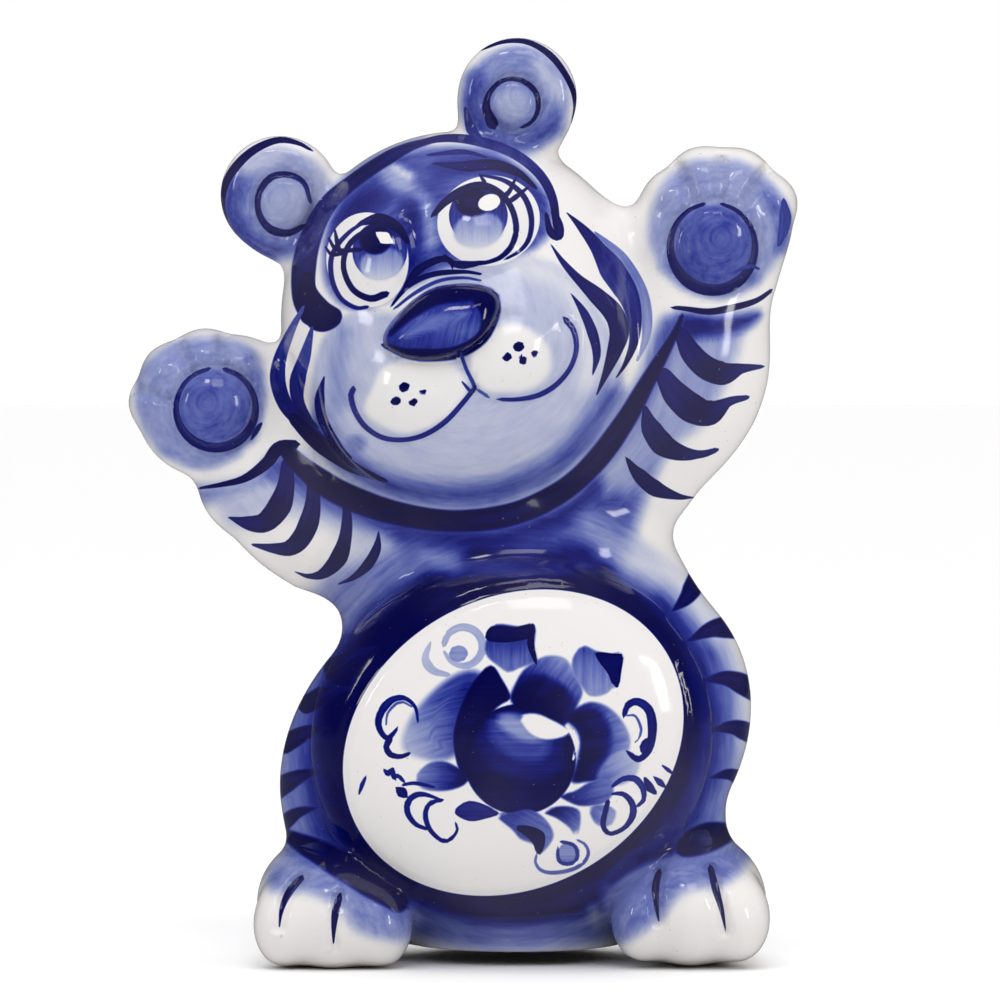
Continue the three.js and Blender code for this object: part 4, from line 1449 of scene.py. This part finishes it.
    def face(self) -> list[Mass]:
        """Muzzle, and the whisker pads on it.

        Returns:
            The masses.
        """
        return [
            Oval((1.6, -10.5, 99.4), (26.0, 13.0, 20.0), HEAD_TILT, 4.0),
            Oval((-5.5, -14.6, 99.6), (12.0, 9.0, 8.8), HEAD_TILT, 5.0),
            Oval((6.4, -14.6, 104.0), (12.0, 9.0, 8.8), HEAD_TILT, 5.0),
        ]

    def hollow(self, p: np.ndarray) -> np.ndarray:
        """The space inside: the cores less the wall, the slot, and the emptying hole
        with the recess for the stopper's flange.

        Args:
            p: points, one row each.

        Returns:
            One distance per point, negative in the space.
        """
        space = self.cores[0].distance(p, self.wall)
        for core in self.cores[1:]:
            space = soft_min(space, core.distance(p, self.wall), self.core_blend)
        across = np.maximum(np.abs(p[:, 0] - self.head.at[0]) - self.slot_reach, 0.0)
        slot = np.hypot(across, p[:, 2] - self.head.at[2]) - self.slot_radius
        space = soft_min(space, np.maximum(slot, PARTING_Y - p[:, 1]), self.slot_blend)
        off = np.hypot(p[:, 0] - self.hole[0], p[:, 1] - self.hole[1])
        seat = self.flange_low + self.flange_thickness + self.seat_gap
        bore = np.maximum(off - (self.flange_radius - self.flange_lap), p[:, 2] - self.bore_top)
        recess = np.maximum(off - self.flange_radius - self.recess_clearance, p[:, 2] - seat)
        return soft_min(np.minimum(space, bore), recess, self.recess_blend)

    def solid(self, p: np.ndarray) -> np.ndarray:
        """The whole shell as a field: the masses, the relief and the boss round the
        hole, less the hollow, cut flat by the floor.

        Args:
            p: points, one row each.

        Returns:
            One distance per point, negative inside the porcelain.
        """
        outside = fused(self.masses, p)
        near = np.flatnonzero((np.abs(outside) < self.relief_reach) & (p[:, 1] < PARTING_Y))
        outside[near] -= self.relief.height(p[near]).astype(outside.dtype)
        off = np.hypot(p[:, 0] - self.hole[0], p[:, 1] - self.hole[1])
        reach = self.flange_radius + self.rim_width + self.recess_clearance
        tall = np.abs(p[:, 2] - self.boss_level) - self.boss_half
        outside = soft_min(outside, soft_max(off - reach, tall, self.boss_round), self.boss_blend)
        hollowed = soft_max(outside, -self.hollow(p), self.rim_round)
        return soft_max(hollowed, -p[:, 2], self.rim_round)

    def build(self) -> tuple[bpy.types.Object, np.ndarray, np.ndarray]:
        """Builds the shell.

        Returns:
            The shell's object, its points and their normals.
        """
        low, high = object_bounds()
        lo = np.array(low) / self.scale - self.margin
        hi = np.array(high) / self.scale + self.margin
        points, faces = surface_net(self.solid, lo, hi, self.grid)
        points, normals = settle(self.solid, points.astype(np.float32), rounds=2)
        LOG.info("shell %d points %d faces", len(points), len(faces))
        return mesh_piece("glazed_shell", points, faces, normals, self.scale), points, normals


# ------------------------------------------------------------------ finishes
class Nodes:
    """Short calls for building a node tree."""

    def __init__(self, tree: bpy.types.NodeTree) -> None:
        """Keeps the tree."""
        self.tree = tree

    def add(self, kind: str, **settings) -> bpy.types.Node:
        """Adds a node.

        Args:
            kind: the node's type.
            settings: properties to set, by name.

        Returns:
            The node.
        """
        node = self.tree.nodes.new(kind)
        for name, value in settings.items():
            setattr(node, name, value)
        return node

    def join(self, source: Source, target: bpy.types.NodeSocket) -> None:
        """Links an output to an input, or sets the input to a plain value.

        Args:
            source: an output, or a value.
            target: the input.
        """
        if isinstance(source, bpy.types.NodeSocket):
            self.tree.links.new(source, target)
        else:
            target.default_value = source

    def sum(
        self, operation: str, a: Source, b: Source = 0.0, c: Source | None = None
    ) -> bpy.types.NodeSocket:
        """A sum worked out by a Math node.

        Args:
            operation: the node's operation.
            a: first value.
            b: second value.
            c: third value, for the operations that take one.

        Returns:
            The result.
        """
        node = self.add("ShaderNodeMath", operation=operation)
        for value, socket in zip((a, b, c), node.inputs):
            if value is not None:
                self.join(value, socket)
        return node.outputs[0]

    def between(
        self, value: Source, low: Source, high: Source, start: float = 0.0, end: float = 1.0
    ) -> bpy.types.NodeSocket:
        """A value from low to high taken to start to end by a smooth step.

        Args:
            value: the value.
            low: where the step starts.
            high: where it ends.
            start: result up to low.
            end: result from high on.

        Returns:
            The result.
        """
        node = self.add("ShaderNodeMapRange", interpolation_type="SMOOTHSTEP")
        for source, socket in zip((value, low, high, start, end), node.inputs):
            self.join(source, socket)
        return node.outputs[0]

    def noise(
        self, place: Source, scale: float, detail: float = 3.0, rough: float = 0.5
    ) -> bpy.types.NodeSocket:
        """A noise texture's value, 0 to 1 and mostly near a half.

        Args:
            place: where it is read.
            scale: swings per unit of place.
            detail: number of finer swings on top.
            rough: how strong the finer ones are.

        Returns:
            The value.
        """
        node = self.add("ShaderNodeTexNoise")
        self.join(place, node.inputs["Vector"])
        node.inputs["Scale"].default_value = scale
        node.inputs["Detail"].default_value = detail
        node.inputs["Roughness"].default_value = rough
        return node.outputs[0]

    def mix(self, share: Source, a: Source, b: Source, kind: str = "RGBA") -> bpy.types.NodeSocket:
        """Mix of two colours, vectors or numbers.

        Args:
            share: share of b.
            a: first one.
            b: second one.
            kind: the node's data type.

        Returns:
            The mix.
        """
        node = self.add("ShaderNodeMix", data_type=kind)
        spot = {"FLOAT": 2, "VECTOR": 4, "RGBA": 6}[kind]
        self.join(share, node.inputs[0])
        self.join(a, node.inputs[spot])
        self.join(b, node.inputs[spot + 1])
        return node.outputs[{"FLOAT": 0, "VECTOR": 1, "RGBA": 2}[kind]]


def shader_group(
    name: str, inputs: dict[str, str], outputs: dict[str, str]
) -> tuple[bpy.types.NodeTree, Nodes, bpy.types.Node, bpy.types.Node]:
    """A new node group with named sockets.

    Args:
        name: the group's name.
        inputs: socket types by name.
        outputs: socket types by name.

    Returns:
        The group, a Nodes for it, its input node and its output node.
    """
    group = bpy.data.node_groups.new(name, "ShaderNodeTree")
    for side, sockets in (("INPUT", inputs), ("OUTPUT", outputs)):
        for label, kind in sockets.items():
            group.interface.new_socket(label, in_out=side, socket_type=kind)
    nodes = Nodes(group)
    return group, nodes, nodes.add("NodeGroupInput"), nodes.add("NodeGroupOutput")


def brush_layer_group() -> bpy.types.NodeTree:
    """Lays one layer of marks over the ink below: where half-width less distance is
    above nought, the ink and the grain become the mark's. Ink pools a little just
    inside the edge.

    Returns:
        The node group.
    """
    pooled = 0.05  # more ink in the pool, as a share
    pool_at, pool_reach = 0.22, 0.3  # millimetres inside the edge, and to either side
    number, vector = "NodeSocketFloat", "NodeSocketVector"
    group, n, enter, leave = shader_group(
        "brush_layer",
        {"Ink": number, "Grain": vector, "Mark": vector, "Mark Ink": number, "Softness": number},
        {"Ink": number, "Grain": vector},
    )
    parts = n.add("ShaderNodeSeparateXYZ")
    n.join(enter.outputs["Mark"], parts.inputs[0])
    edge = n.sum("SUBTRACT", parts.outputs[1], n.sum("ABSOLUTE", parts.outputs[0]))
    soft = enter.outputs["Softness"]
    mask = n.between(edge, n.sum("MULTIPLY", soft, -1.0), soft)
    off = n.sum("ABSOLUTE", n.sum("SUBTRACT", edge, pool_at))
    pool = n.between(off, pool_reach, 0.0, 0.0, pooled)
    own = enter.outputs["Mark Ink"]
    own = n.sum("ADD", own, n.sum("MULTIPLY", pool, own))
    n.join(n.mix(mask, enter.outputs["Ink"], own, "FLOAT"), leave.inputs["Ink"])
    stroke = n.add("ShaderNodeCombineXYZ")
    n.join(parts.outputs[0], stroke.inputs[0])
    n.join(n.sum("MULTIPLY", parts.outputs[2], STREAK_PITCH), stroke.inputs[1])
    n.join(enter.outputs["Mark Ink"], stroke.inputs[2])
    n.join(n.mix(mask, enter.outputs["Grain"], stroke.outputs[0], "VECTOR"), leave.inputs["Grain"])
    return group


def brush_grain_group() -> bpy.types.NodeTree:
    """Streaks of bristles along each mark, and cloudy ink across washes: the ink moves
    by noise times ink times (a little over 1 less ink), and less where it is thin.

    Returns:
        The node group.
    """
    middle = 0.5  # the noise swings about this
    fullest = 1.12  # so that even full ink moves a little
    thin, full = (0.1, 0.45), (0.5, 0.85)  # ink, and share of the grain that it shows
    number, vector = "NodeSocketFloat", "NodeSocketVector"
    group, n, enter, leave = shader_group(
        "brush_grain",
        {"Ink": number, "Grain": vector, "Place": vector, "Streaks": number, "Clouds": number},
        {"Ink": number},
    )
    ink = enter.outputs["Ink"]
    bristles = n.noise(enter.outputs["Grain"], scale=1.5, detail=4.0, rough=0.62)
    streak = n.sum("SUBTRACT", bristles, middle)
    puddles = n.noise(enter.outputs["Place"], scale=210.0, detail=3.0, rough=0.55)
    cloud = n.sum("SUBTRACT", puddles, middle)
    swing = n.sum("ADD", n.sum("MULTIPLY", streak, enter.outputs["Streaks"]),
                  n.sum("MULTIPLY", cloud, enter.outputs["Clouds"]))
    thick = n.between(ink, thin[0], full[0], thin[1], full[1])
    room = n.sum("MULTIPLY", n.sum("MULTIPLY", ink, n.sum("SUBTRACT", fullest, ink)), thick)
    moved = n.sum("ADD", ink, n.sum("MULTIPLY", swing, room))
    n.join(n.sum("MAXIMUM", n.sum("MINIMUM", moved, 1.0), 0.0), leave.inputs["Ink"])
    return group


@dataclass(frozen=True)
class CobaltGlaze:
    """Warm white porcelain under clear glaze, painted with cobalt from pale wash to
    near black where the ink stands thick."""

    ramp: tuple[tuple[float, tuple[float, float, float]], ...] = (
        (0.0, (0.82, 0.795, 0.785)),
        (0.07, (0.73, 0.715, 0.735)),
        (0.16, (0.54, 0.56, 0.68)),
        (0.30, (0.31, 0.35, 0.57)),
        (0.50, (0.115, 0.15, 0.44)),
        (0.70, (0.024, 0.038, 0.28)),
        (0.86, (0.003, 0.006, 0.16)),
        (1.0, (0.001, 0.001, 0.056)),
    )
    bisque: Place = (0.74, 0.70, 0.64)
    darker: float = 0.86  # the bisque's darker grains against it
    cream: Place = (0.78, 0.68, 0.55)  # faint warm clouds in the glaze
    speck: Place = (0.23, 0.2, 0.22)  # iron specks in the clay
    speck_strength: float = 0.45
    streaks: float = 1.5
    clouds: float = 0.55
    roughness: float = 0.075
    smeared: float = 0.05  # added to the roughness where the glaze was handled
    bare_roughness: float = 0.75
    coat: float = 0.15
    coat_roughness: float = 0.03
    refraction: float = 1.46
    wave_strength: float = 0.35
    wave_height: float = 0.0009  # metres
    grit_height: float = 0.05  # of the bare clay, against the wave

    def painted(self, n: Nodes, layers: int, place: Source) -> bpy.types.NodeSocket:
        """Ink from the thin washes up through every layer of marks, with its grain.

        Args:
            n: the material's nodes.
            layers: number of mark layers on the mesh.
            place: the point on the object.

        Returns:
            The ink.
        """
        wash = n.add("ShaderNodeAttribute", attribute_name="wash")
        ink, grain = wash.outputs["Alpha"], wash.outputs["Vector"]
        group = brush_layer_group()
        for number in range(layers):
            mark = n.add("ShaderNodeAttribute", attribute_name=f"mark_{number:02d}")
            layer = n.add("ShaderNodeGroup", node_tree=group)
            n.join(ink, layer.inputs["Ink"])
            n.join(grain, layer.inputs["Grain"])
            n.join(mark.outputs["Vector"], layer.inputs["Mark"])
            n.join(mark.outputs["Alpha"], layer.inputs["Mark Ink"])
            layer.inputs["Softness"].default_value = CRISP
            ink, grain = layer.outputs["Ink"], layer.outputs["Grain"]
        grained = n.add("ShaderNodeGroup", node_tree=brush_grain_group())
        n.join(ink, grained.inputs["Ink"])
        n.join(grain, grained.inputs["Grain"])
        n.join(place, grained.inputs["Place"])
        grained.inputs["Streaks"].default_value = self.streaks
        grained.inputs["Clouds"].default_value = self.clouds
        return grained.outputs["Ink"]

    def material(self, layers: int) -> bpy.types.Material:
        """Makes the glazed porcelain material.

        Args:
            layers: number of mark layers on the mesh.

        Returns:
            The material.
        """
        material = bpy.data.materials.new("cobalt_glaze")
        material.use_nodes = True
        n = Nodes(material.node_tree)
        shader = material.node_tree.nodes["Principled BSDF"]
        place = n.add("ShaderNodeTexCoord").outputs["Object"]
        ramp = n.add("ShaderNodeValToRGB")
        stops = ramp.color_ramp.elements
        while len(stops) < len(self.ramp):
            stops.new(0.5)
        for stop, (at, colour) in zip(stops, self.ramp):
            stop.position = at
            stop.color = (*colour, 1)
        n.join(self.painted(n, layers, place), ramp.inputs[0])
        speck = n.between(n.noise(place, 1500.0, 1.0), 0.765, 0.80)
        cream = n.between(n.noise(place, 26.0, 2.0), 0.35, 0.75, 0.0, 0.05)
        colour = n.mix(cream, ramp.outputs[0], (*self.cream, 1))
        shown = n.sum("MULTIPLY", speck, self.speck_strength)
        colour = n.mix(shown, colour, (*self.speck, 1))
        bare = n.add("ShaderNodeAttribute", attribute_name="bare").outputs["Fac"]
        grit = n.noise(place, 2600.0, 2.0)
        raw = n.mix(grit, (*self.bisque, 1), (*(self.darker * c for c in self.bisque), 1))
        n.join(n.mix(bare, colour, raw), shader.inputs["Base Color"])
        handled = self.roughness + self.smeared
        smear = n.between(n.noise(place, 70.0, 3.0), 0.3, 0.8, self.roughness, handled)
        n.join(n.mix(bare, smear, self.bare_roughness, "FLOAT"), shader.inputs["Roughness"])
        n.join(n.sum("MULTIPLY", n.sum("SUBTRACT", 1.0, bare), self.coat),
               shader.inputs["Coat Weight"])
        shader.inputs["Coat Roughness"].default_value = self.coat_roughness
        shader.inputs["IOR"].default_value = self.refraction
        wave = n.noise(place, 85.0, 2.0, 0.45)
        fine = n.sum("MULTIPLY", grit, n.sum("MULTIPLY", bare, self.grit_height))
        bump = n.add("ShaderNodeBump")
        bump.inputs["Strength"].default_value = self.wave_strength
        bump.inputs["Distance"].default_value = self.wave_height
        n.join(n.sum("ADD", wave, fine), bump.inputs["Height"])
        n.join(bump.outputs[0], shader.inputs["Normal"])
        return material


@dataclass(frozen=True)
class StopperRubber:
    """Soft black moulded rubber, dull, with faint dust and a fine moulded grain."""

    colour: Place = (0.018, 0.018, 0.020)
    dusty: Place = (0.075, 0.072, 0.068)
    smoothest: float = 0.54
    roughest: float = 0.74
    grain_strength: float = 0.3
    grain_height: float = 0.0002  # metres

    def material(self) -> bpy.types.Material:
        """Makes the rubber material.

        Returns:
            The material.
        """
        material = bpy.data.materials.new("stopper_rubber")
        material.use_nodes = True
        n = Nodes(material.node_tree)
        shader = material.node_tree.nodes["Principled BSDF"]
        place = n.add("ShaderNodeTexCoord").outputs["Object"]
        dust = n.between(n.noise(place, 130.0, 4.0, 0.6), 0.45, 0.8)
        grain = n.noise(place, 2400.0, 2.0)
        n.join(n.mix(dust, (*self.colour, 1), (*self.dusty, 1)), shader.inputs["Base Color"])
        rough = n.between(grain, 0.2, 0.8, self.smoothest, self.roughest)
        n.join(rough, shader.inputs["Roughness"])
        bump = n.add("ShaderNodeBump")
        bump.inputs["Strength"].default_value = self.grain_strength
        bump.inputs["Distance"].default_value = self.grain_height
        n.join(grain, bump.inputs["Height"])
        n.join(bump.outputs[0], shader.inputs["Normal"])
        return material


@dataclass(frozen=True)
class PaleFloor:
    """Matt near-white floor, darker where the glaze mirrors it."""

    colour: Place = (0.94, 0.94, 0.94)
    mirrored: Place = (0.09, 0.09, 0.1)
    roughness: float = 0.9
    shine: float = 0.1

    def material(self) -> bpy.types.Material:
        """Makes the floor material.

        Returns:
            The material.
        """
        material = bpy.data.materials.new("pale_floor")
        material.use_nodes = True
        n = Nodes(material.node_tree)
        shader = material.node_tree.nodes["Principled BSDF"]
        glossy = n.add("ShaderNodeLightPath").outputs["Is Glossy Ray"]
        n.join(n.mix(glossy, (*self.colour, 1), (*self.mirrored, 1)), shader.inputs["Base Color"])
        shader.inputs["Roughness"].default_value = self.roughness
        shader.inputs["Specular IOR Level"].default_value = self.shine
        return material


# ------------------------------------------------------------------ dressing
class Decoration:
    """Puts the painting on the shell's points as attributes."""

    # face, belly, ears, paws and feet: middles that the brush went round, and reaches
    MIDDLES = ((0.0, 106.0), (8.4, 37.5), (-31.0, 128.2), (9.5, 145.5),
               (-42.9, 94.0), (42.9, 121.5), (-22.0, 4.0), (37.0, 4.0))
    REACHES = (30.0, 34.0, 9.6, 9.6, 11.0, 11.5, 13.0, 13.0)
    ACROSS = 0.55  # grain across the brush's way, per millimetre
    ALONG = 2.4  # radius of the circle that the grain turns on
    CALM = 9.0  # the turn's grain dies away within this far of a middle
    GLAZED = (0.5, 1.4)  # depth of porcelain over the hollow where the glaze starts, and its edge
    LIFTED = (0.5, 0.9)  # and height above the floor
    PAINTED = 0.9  # only points this far outside the hollow are painted
    TURNED = (0.3, 0.5)  # backward lean where the front painting fades, and over how much
    TURN_FROM = (-1.0, 4.0)  # Y where that begins, and over how far
    LEAD = 1.0  # the front painting starts to fade this far before the parting plane
    BACK_FADE = 7.0  # and the back painting comes in over this far behind it

    def __init__(self, body: PorcelainBody, points: np.ndarray, normals: np.ndarray) -> None:
        """Splits the outside points between the painter's two sides, and fades each
        side's painting out towards the other.

        Args:
            body: the shell's maker, for its hollow.
            points: the shell's points in millimetres.
            normals: their outward directions.
        """
        inner = body.hollow(points)
        self.bare = np.maximum(
            1 - smooth_step((inner - self.GLAZED[0]) / self.GLAZED[1]),
            1 - smooth_step((points[:, 2] - self.LIFTED[0]) / self.LIFTED[1]),
        )
        outside = inner > self.PAINTED
        front = outside & (points[:, 1] < PARTING_Y + TURN_BACK)
        back = outside & (points[:, 1] >= PARTING_Y)
        self.plane = painter_plane(points)
        flat = points[:, [0, 2]]
        rows = {Side.FRONT: np.flatnonzero(front), Side.BACK: np.flatnonzero(back)}
        spots = {Side.FRONT: self.plane[rows[Side.FRONT]], Side.BACK: flat[rows[Side.BACK]]}
        self.painting = Painting(spots, rows, len(points))
        behind = smooth_step((points[:, 1] - PARTING_Y + self.LEAD) / TURN_BACK)
        turned = smooth_step((normals[:, 1] - self.TURNED[0]) / self.TURNED[1])
        turned *= smooth_step((points[:, 1] - self.TURN_FROM[0]) / self.TURN_FROM[1])
        self.painting.fade[Side.FRONT] = np.maximum(behind, turned)[rows[Side.FRONT]]
        ahead = 1 - smooth_step((points[:, 1] - PARTING_Y) / self.BACK_FADE)
        self.painting.fade[Side.BACK] = ahead[rows[Side.BACK]]

    def paint(self) -> None:
        """Lays every wash, then every mark."""
        for wash in body_washes() + limb_washes() + head_washes() + back_washes():
            self.painting.flood(wash)
        marks = body_marks() + flower_marks() + limb_marks() + head_marks() + back_marks()
        for mark in marks:
            self.painting.add(mark)
        LOG.info("painting has %d layers", len(self.painting.layers))

    def brush_turns(self) -> np.ndarray:
        """Grain of the washes: distance from the nearest middle, in shares of its
        reach, and a slow turn about it.

        Returns:
            Three grain coordinates per point.
        """
        rel = self.plane[:, None] - np.array(self.MIDDLES)[None]
        share = np.hypot(rel[..., 0], rel[..., 1]) / np.array(self.REACHES)
        rel = rel[np.arange(len(rel)), share.argmin(1)]
        far = np.hypot(rel[:, 0], rel[:, 1]) + TINY
        turn = self.ALONG * smooth_step(far / self.CALM) / far
        return np.stack([far * self.ACROSS, rel[:, 0] * turn, rel[:, 1] * turn], 1)

    def store(self, mesh: bpy.types.Mesh) -> None:
        """Writes the attributes that the glaze reads.

        Args:
            mesh: the shell's mesh.
        """
        thin = np.concatenate([self.brush_turns(), self.painting.thin[:, None]], 1)
        sheets = {"wash": thin}
        for number, layer in enumerate(self.painting.layers):
            sheets[f"mark_{number:02d}"] = layer
        for name, values in sheets.items():
            attribute = mesh.attributes.new(name, "FLOAT_COLOR", "POINT")
            attribute.data.foreach_set("color", values.astype(np.float32).ravel())
        attribute = mesh.attributes.new("bare", "FLOAT", "POINT")
        attribute.data.foreach_set("value", self.bare.astype(np.float32))


# ------------------------------------------------------------------ studio
@dataclass
class Studio:
    """Pale floor, soft boxes and the camera."""

    # place and size in heights of the figure, and watts
    SOFT_BOXES = (
        ("key", (-0.9, -2.1, 3.9), (0.6, 0.5), 0.24),
        ("window", (0.5, -2.3, 3.8), (1.5, 1.2), 0.42),
        ("side", (2.9, -2.2, 1.3), (0.4, 1.4), 0.42),
        ("left", (-3.0, -1.6, 1.6), (0.4, 1.0), 0.22),
    )

    height: float  # of the figure, in metres
    sight: float = 6.1  # design millimetres, where the camera looks along X
    rise: float = 77.8  # and how high it looks, in the painter's upright plane
    frame_height: float = 168.3  # design millimetres from edge to edge of the picture
    lens: float = 360.0
    sensor: float = 36.0
    floor_reach: float = 14.0  # in heights of the figure
    overhead: float = 1.9  # the sky's strength straight above, beyond the least
    least: float = 0.14  # and at the level
    mirrored: float = 0.03  # strength that the glaze mirrors

    def soft_box(self, name: str, at: Vector, size: tuple[float, float], power: float) -> None:
        """One rectangular light aimed at the middle of the figure.

        Args:
            name: the light's name.
            at: its place in metres.
            size: its two sides in metres.
            power: in watts.
        """
        aim = Vector((0, 0, self.height * 0.5))
        light = bpy.data.lights.new(name, "AREA")
        light.shape = "RECTANGLE"
        light.size, light.size_y = size
        light.energy = power
        lamp = bpy.data.objects.new(name, light)
        lamp.location = at
        lamp.rotation_euler = (aim - at).to_track_quat("-Z", "Y").to_euler()
        bpy.context.scene.collection.objects.link(lamp)

    def surroundings(self) -> None:
        """White background, soft light that grows with the square of the height, and a
        dim room for the glaze to mirror."""
        world = bpy.data.worlds.new("studio")
        bpy.context.scene.world = world
        world.use_nodes = True
        n = Nodes(world.node_tree)
        sky = world.node_tree.nodes["Background"]
        path = n.add("ShaderNodeLightPath")
        split = n.add("ShaderNodeSeparateXYZ")
        n.join(n.add("ShaderNodeTexCoord").outputs["Generated"], split.inputs[0])
        height = n.sum("MAXIMUM", split.outputs[2], 0.0)
        square = n.sum("MULTIPLY", height, height)
        level = n.sum("MULTIPLY_ADD", square, self.overhead, self.least)
        level = n.mix(path.outputs["Is Glossy Ray"], level, self.mirrored, "FLOAT")
        level = n.mix(path.outputs["Is Camera Ray"], level, 1.0, "FLOAT")
        n.join(level, sky.inputs["Strength"])
        sky.inputs["Color"].default_value = (1.0, 1.0, 1.0, 1)

    def build(self) -> None:
        """Makes the floor, the lights, the surroundings and the camera."""
        scene = bpy.context.scene
        scene.view_settings.view_transform = "Standard"
        scale = self.height / DESIGN_HEIGHT
        r = self.floor_reach * self.height
        sheet = bpy.data.meshes.new("floor")
        sheet.from_pydata([(-r, -r, 0), (r, -r, 0), (r, r, 0), (-r, r, 0)], [], [(0, 1, 2, 3)])
        sheet.materials.append(PaleFloor().material())
        floor = bpy.data.objects.new("floor", sheet)
        scene.collection.objects.link(floor)
        floor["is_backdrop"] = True
        lift = math.radians(VIEW_LIFT)
        aim = Vector((self.sight * scale, 0, (self.rise - VIEW_RISE) / math.cos(lift) * scale))
        camera = bpy.data.objects.new("camera", bpy.data.cameras.new("camera"))
        scene.collection.objects.link(camera)
        scene.camera = camera
        camera.data.lens = self.lens
        camera.data.sensor_width = self.sensor
        far = self.frame_height * scale * self.lens / self.sensor
        camera.location = aim + Vector((0, -math.cos(lift), math.sin(lift))) * far
        camera.rotation_euler = (math.radians(90 - VIEW_LIFT), 0, 0)
        self.surroundings()
        for name, at, (wide, tall), power in self.SOFT_BOXES:
            size = (wide * self.height, tall * self.height)
            self.soft_box(name, Vector(at) * self.height, size, power)


def main() -> None:
    """Builds everything in order."""
    logging.basicConfig(level=logging.INFO)
    cad_box = [list(v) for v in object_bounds()]
    body = PorcelainBody()
    shell, points, normals = body.build()
    decoration = Decoration(body, points, normals)
    decoration.paint()
    decoration.store(shell.data)
    shell.data.materials.append(CobaltGlaze().material(len(decoration.painting.layers)))
    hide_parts("porcelain_head", "porcelain_body")
    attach(shell, "figure")
    LOG.info("porcelain shell ready")
    stopper = bpy.data.objects["stopper"]
    stopper.data.materials.clear()
    stopper.data.materials.append(StopperRubber().material())
    LOG.info("stopper dressed")
    Studio(cad_box[1][2] - cad_box[0][2]).build()


if __name__ == "__main__":
    main()
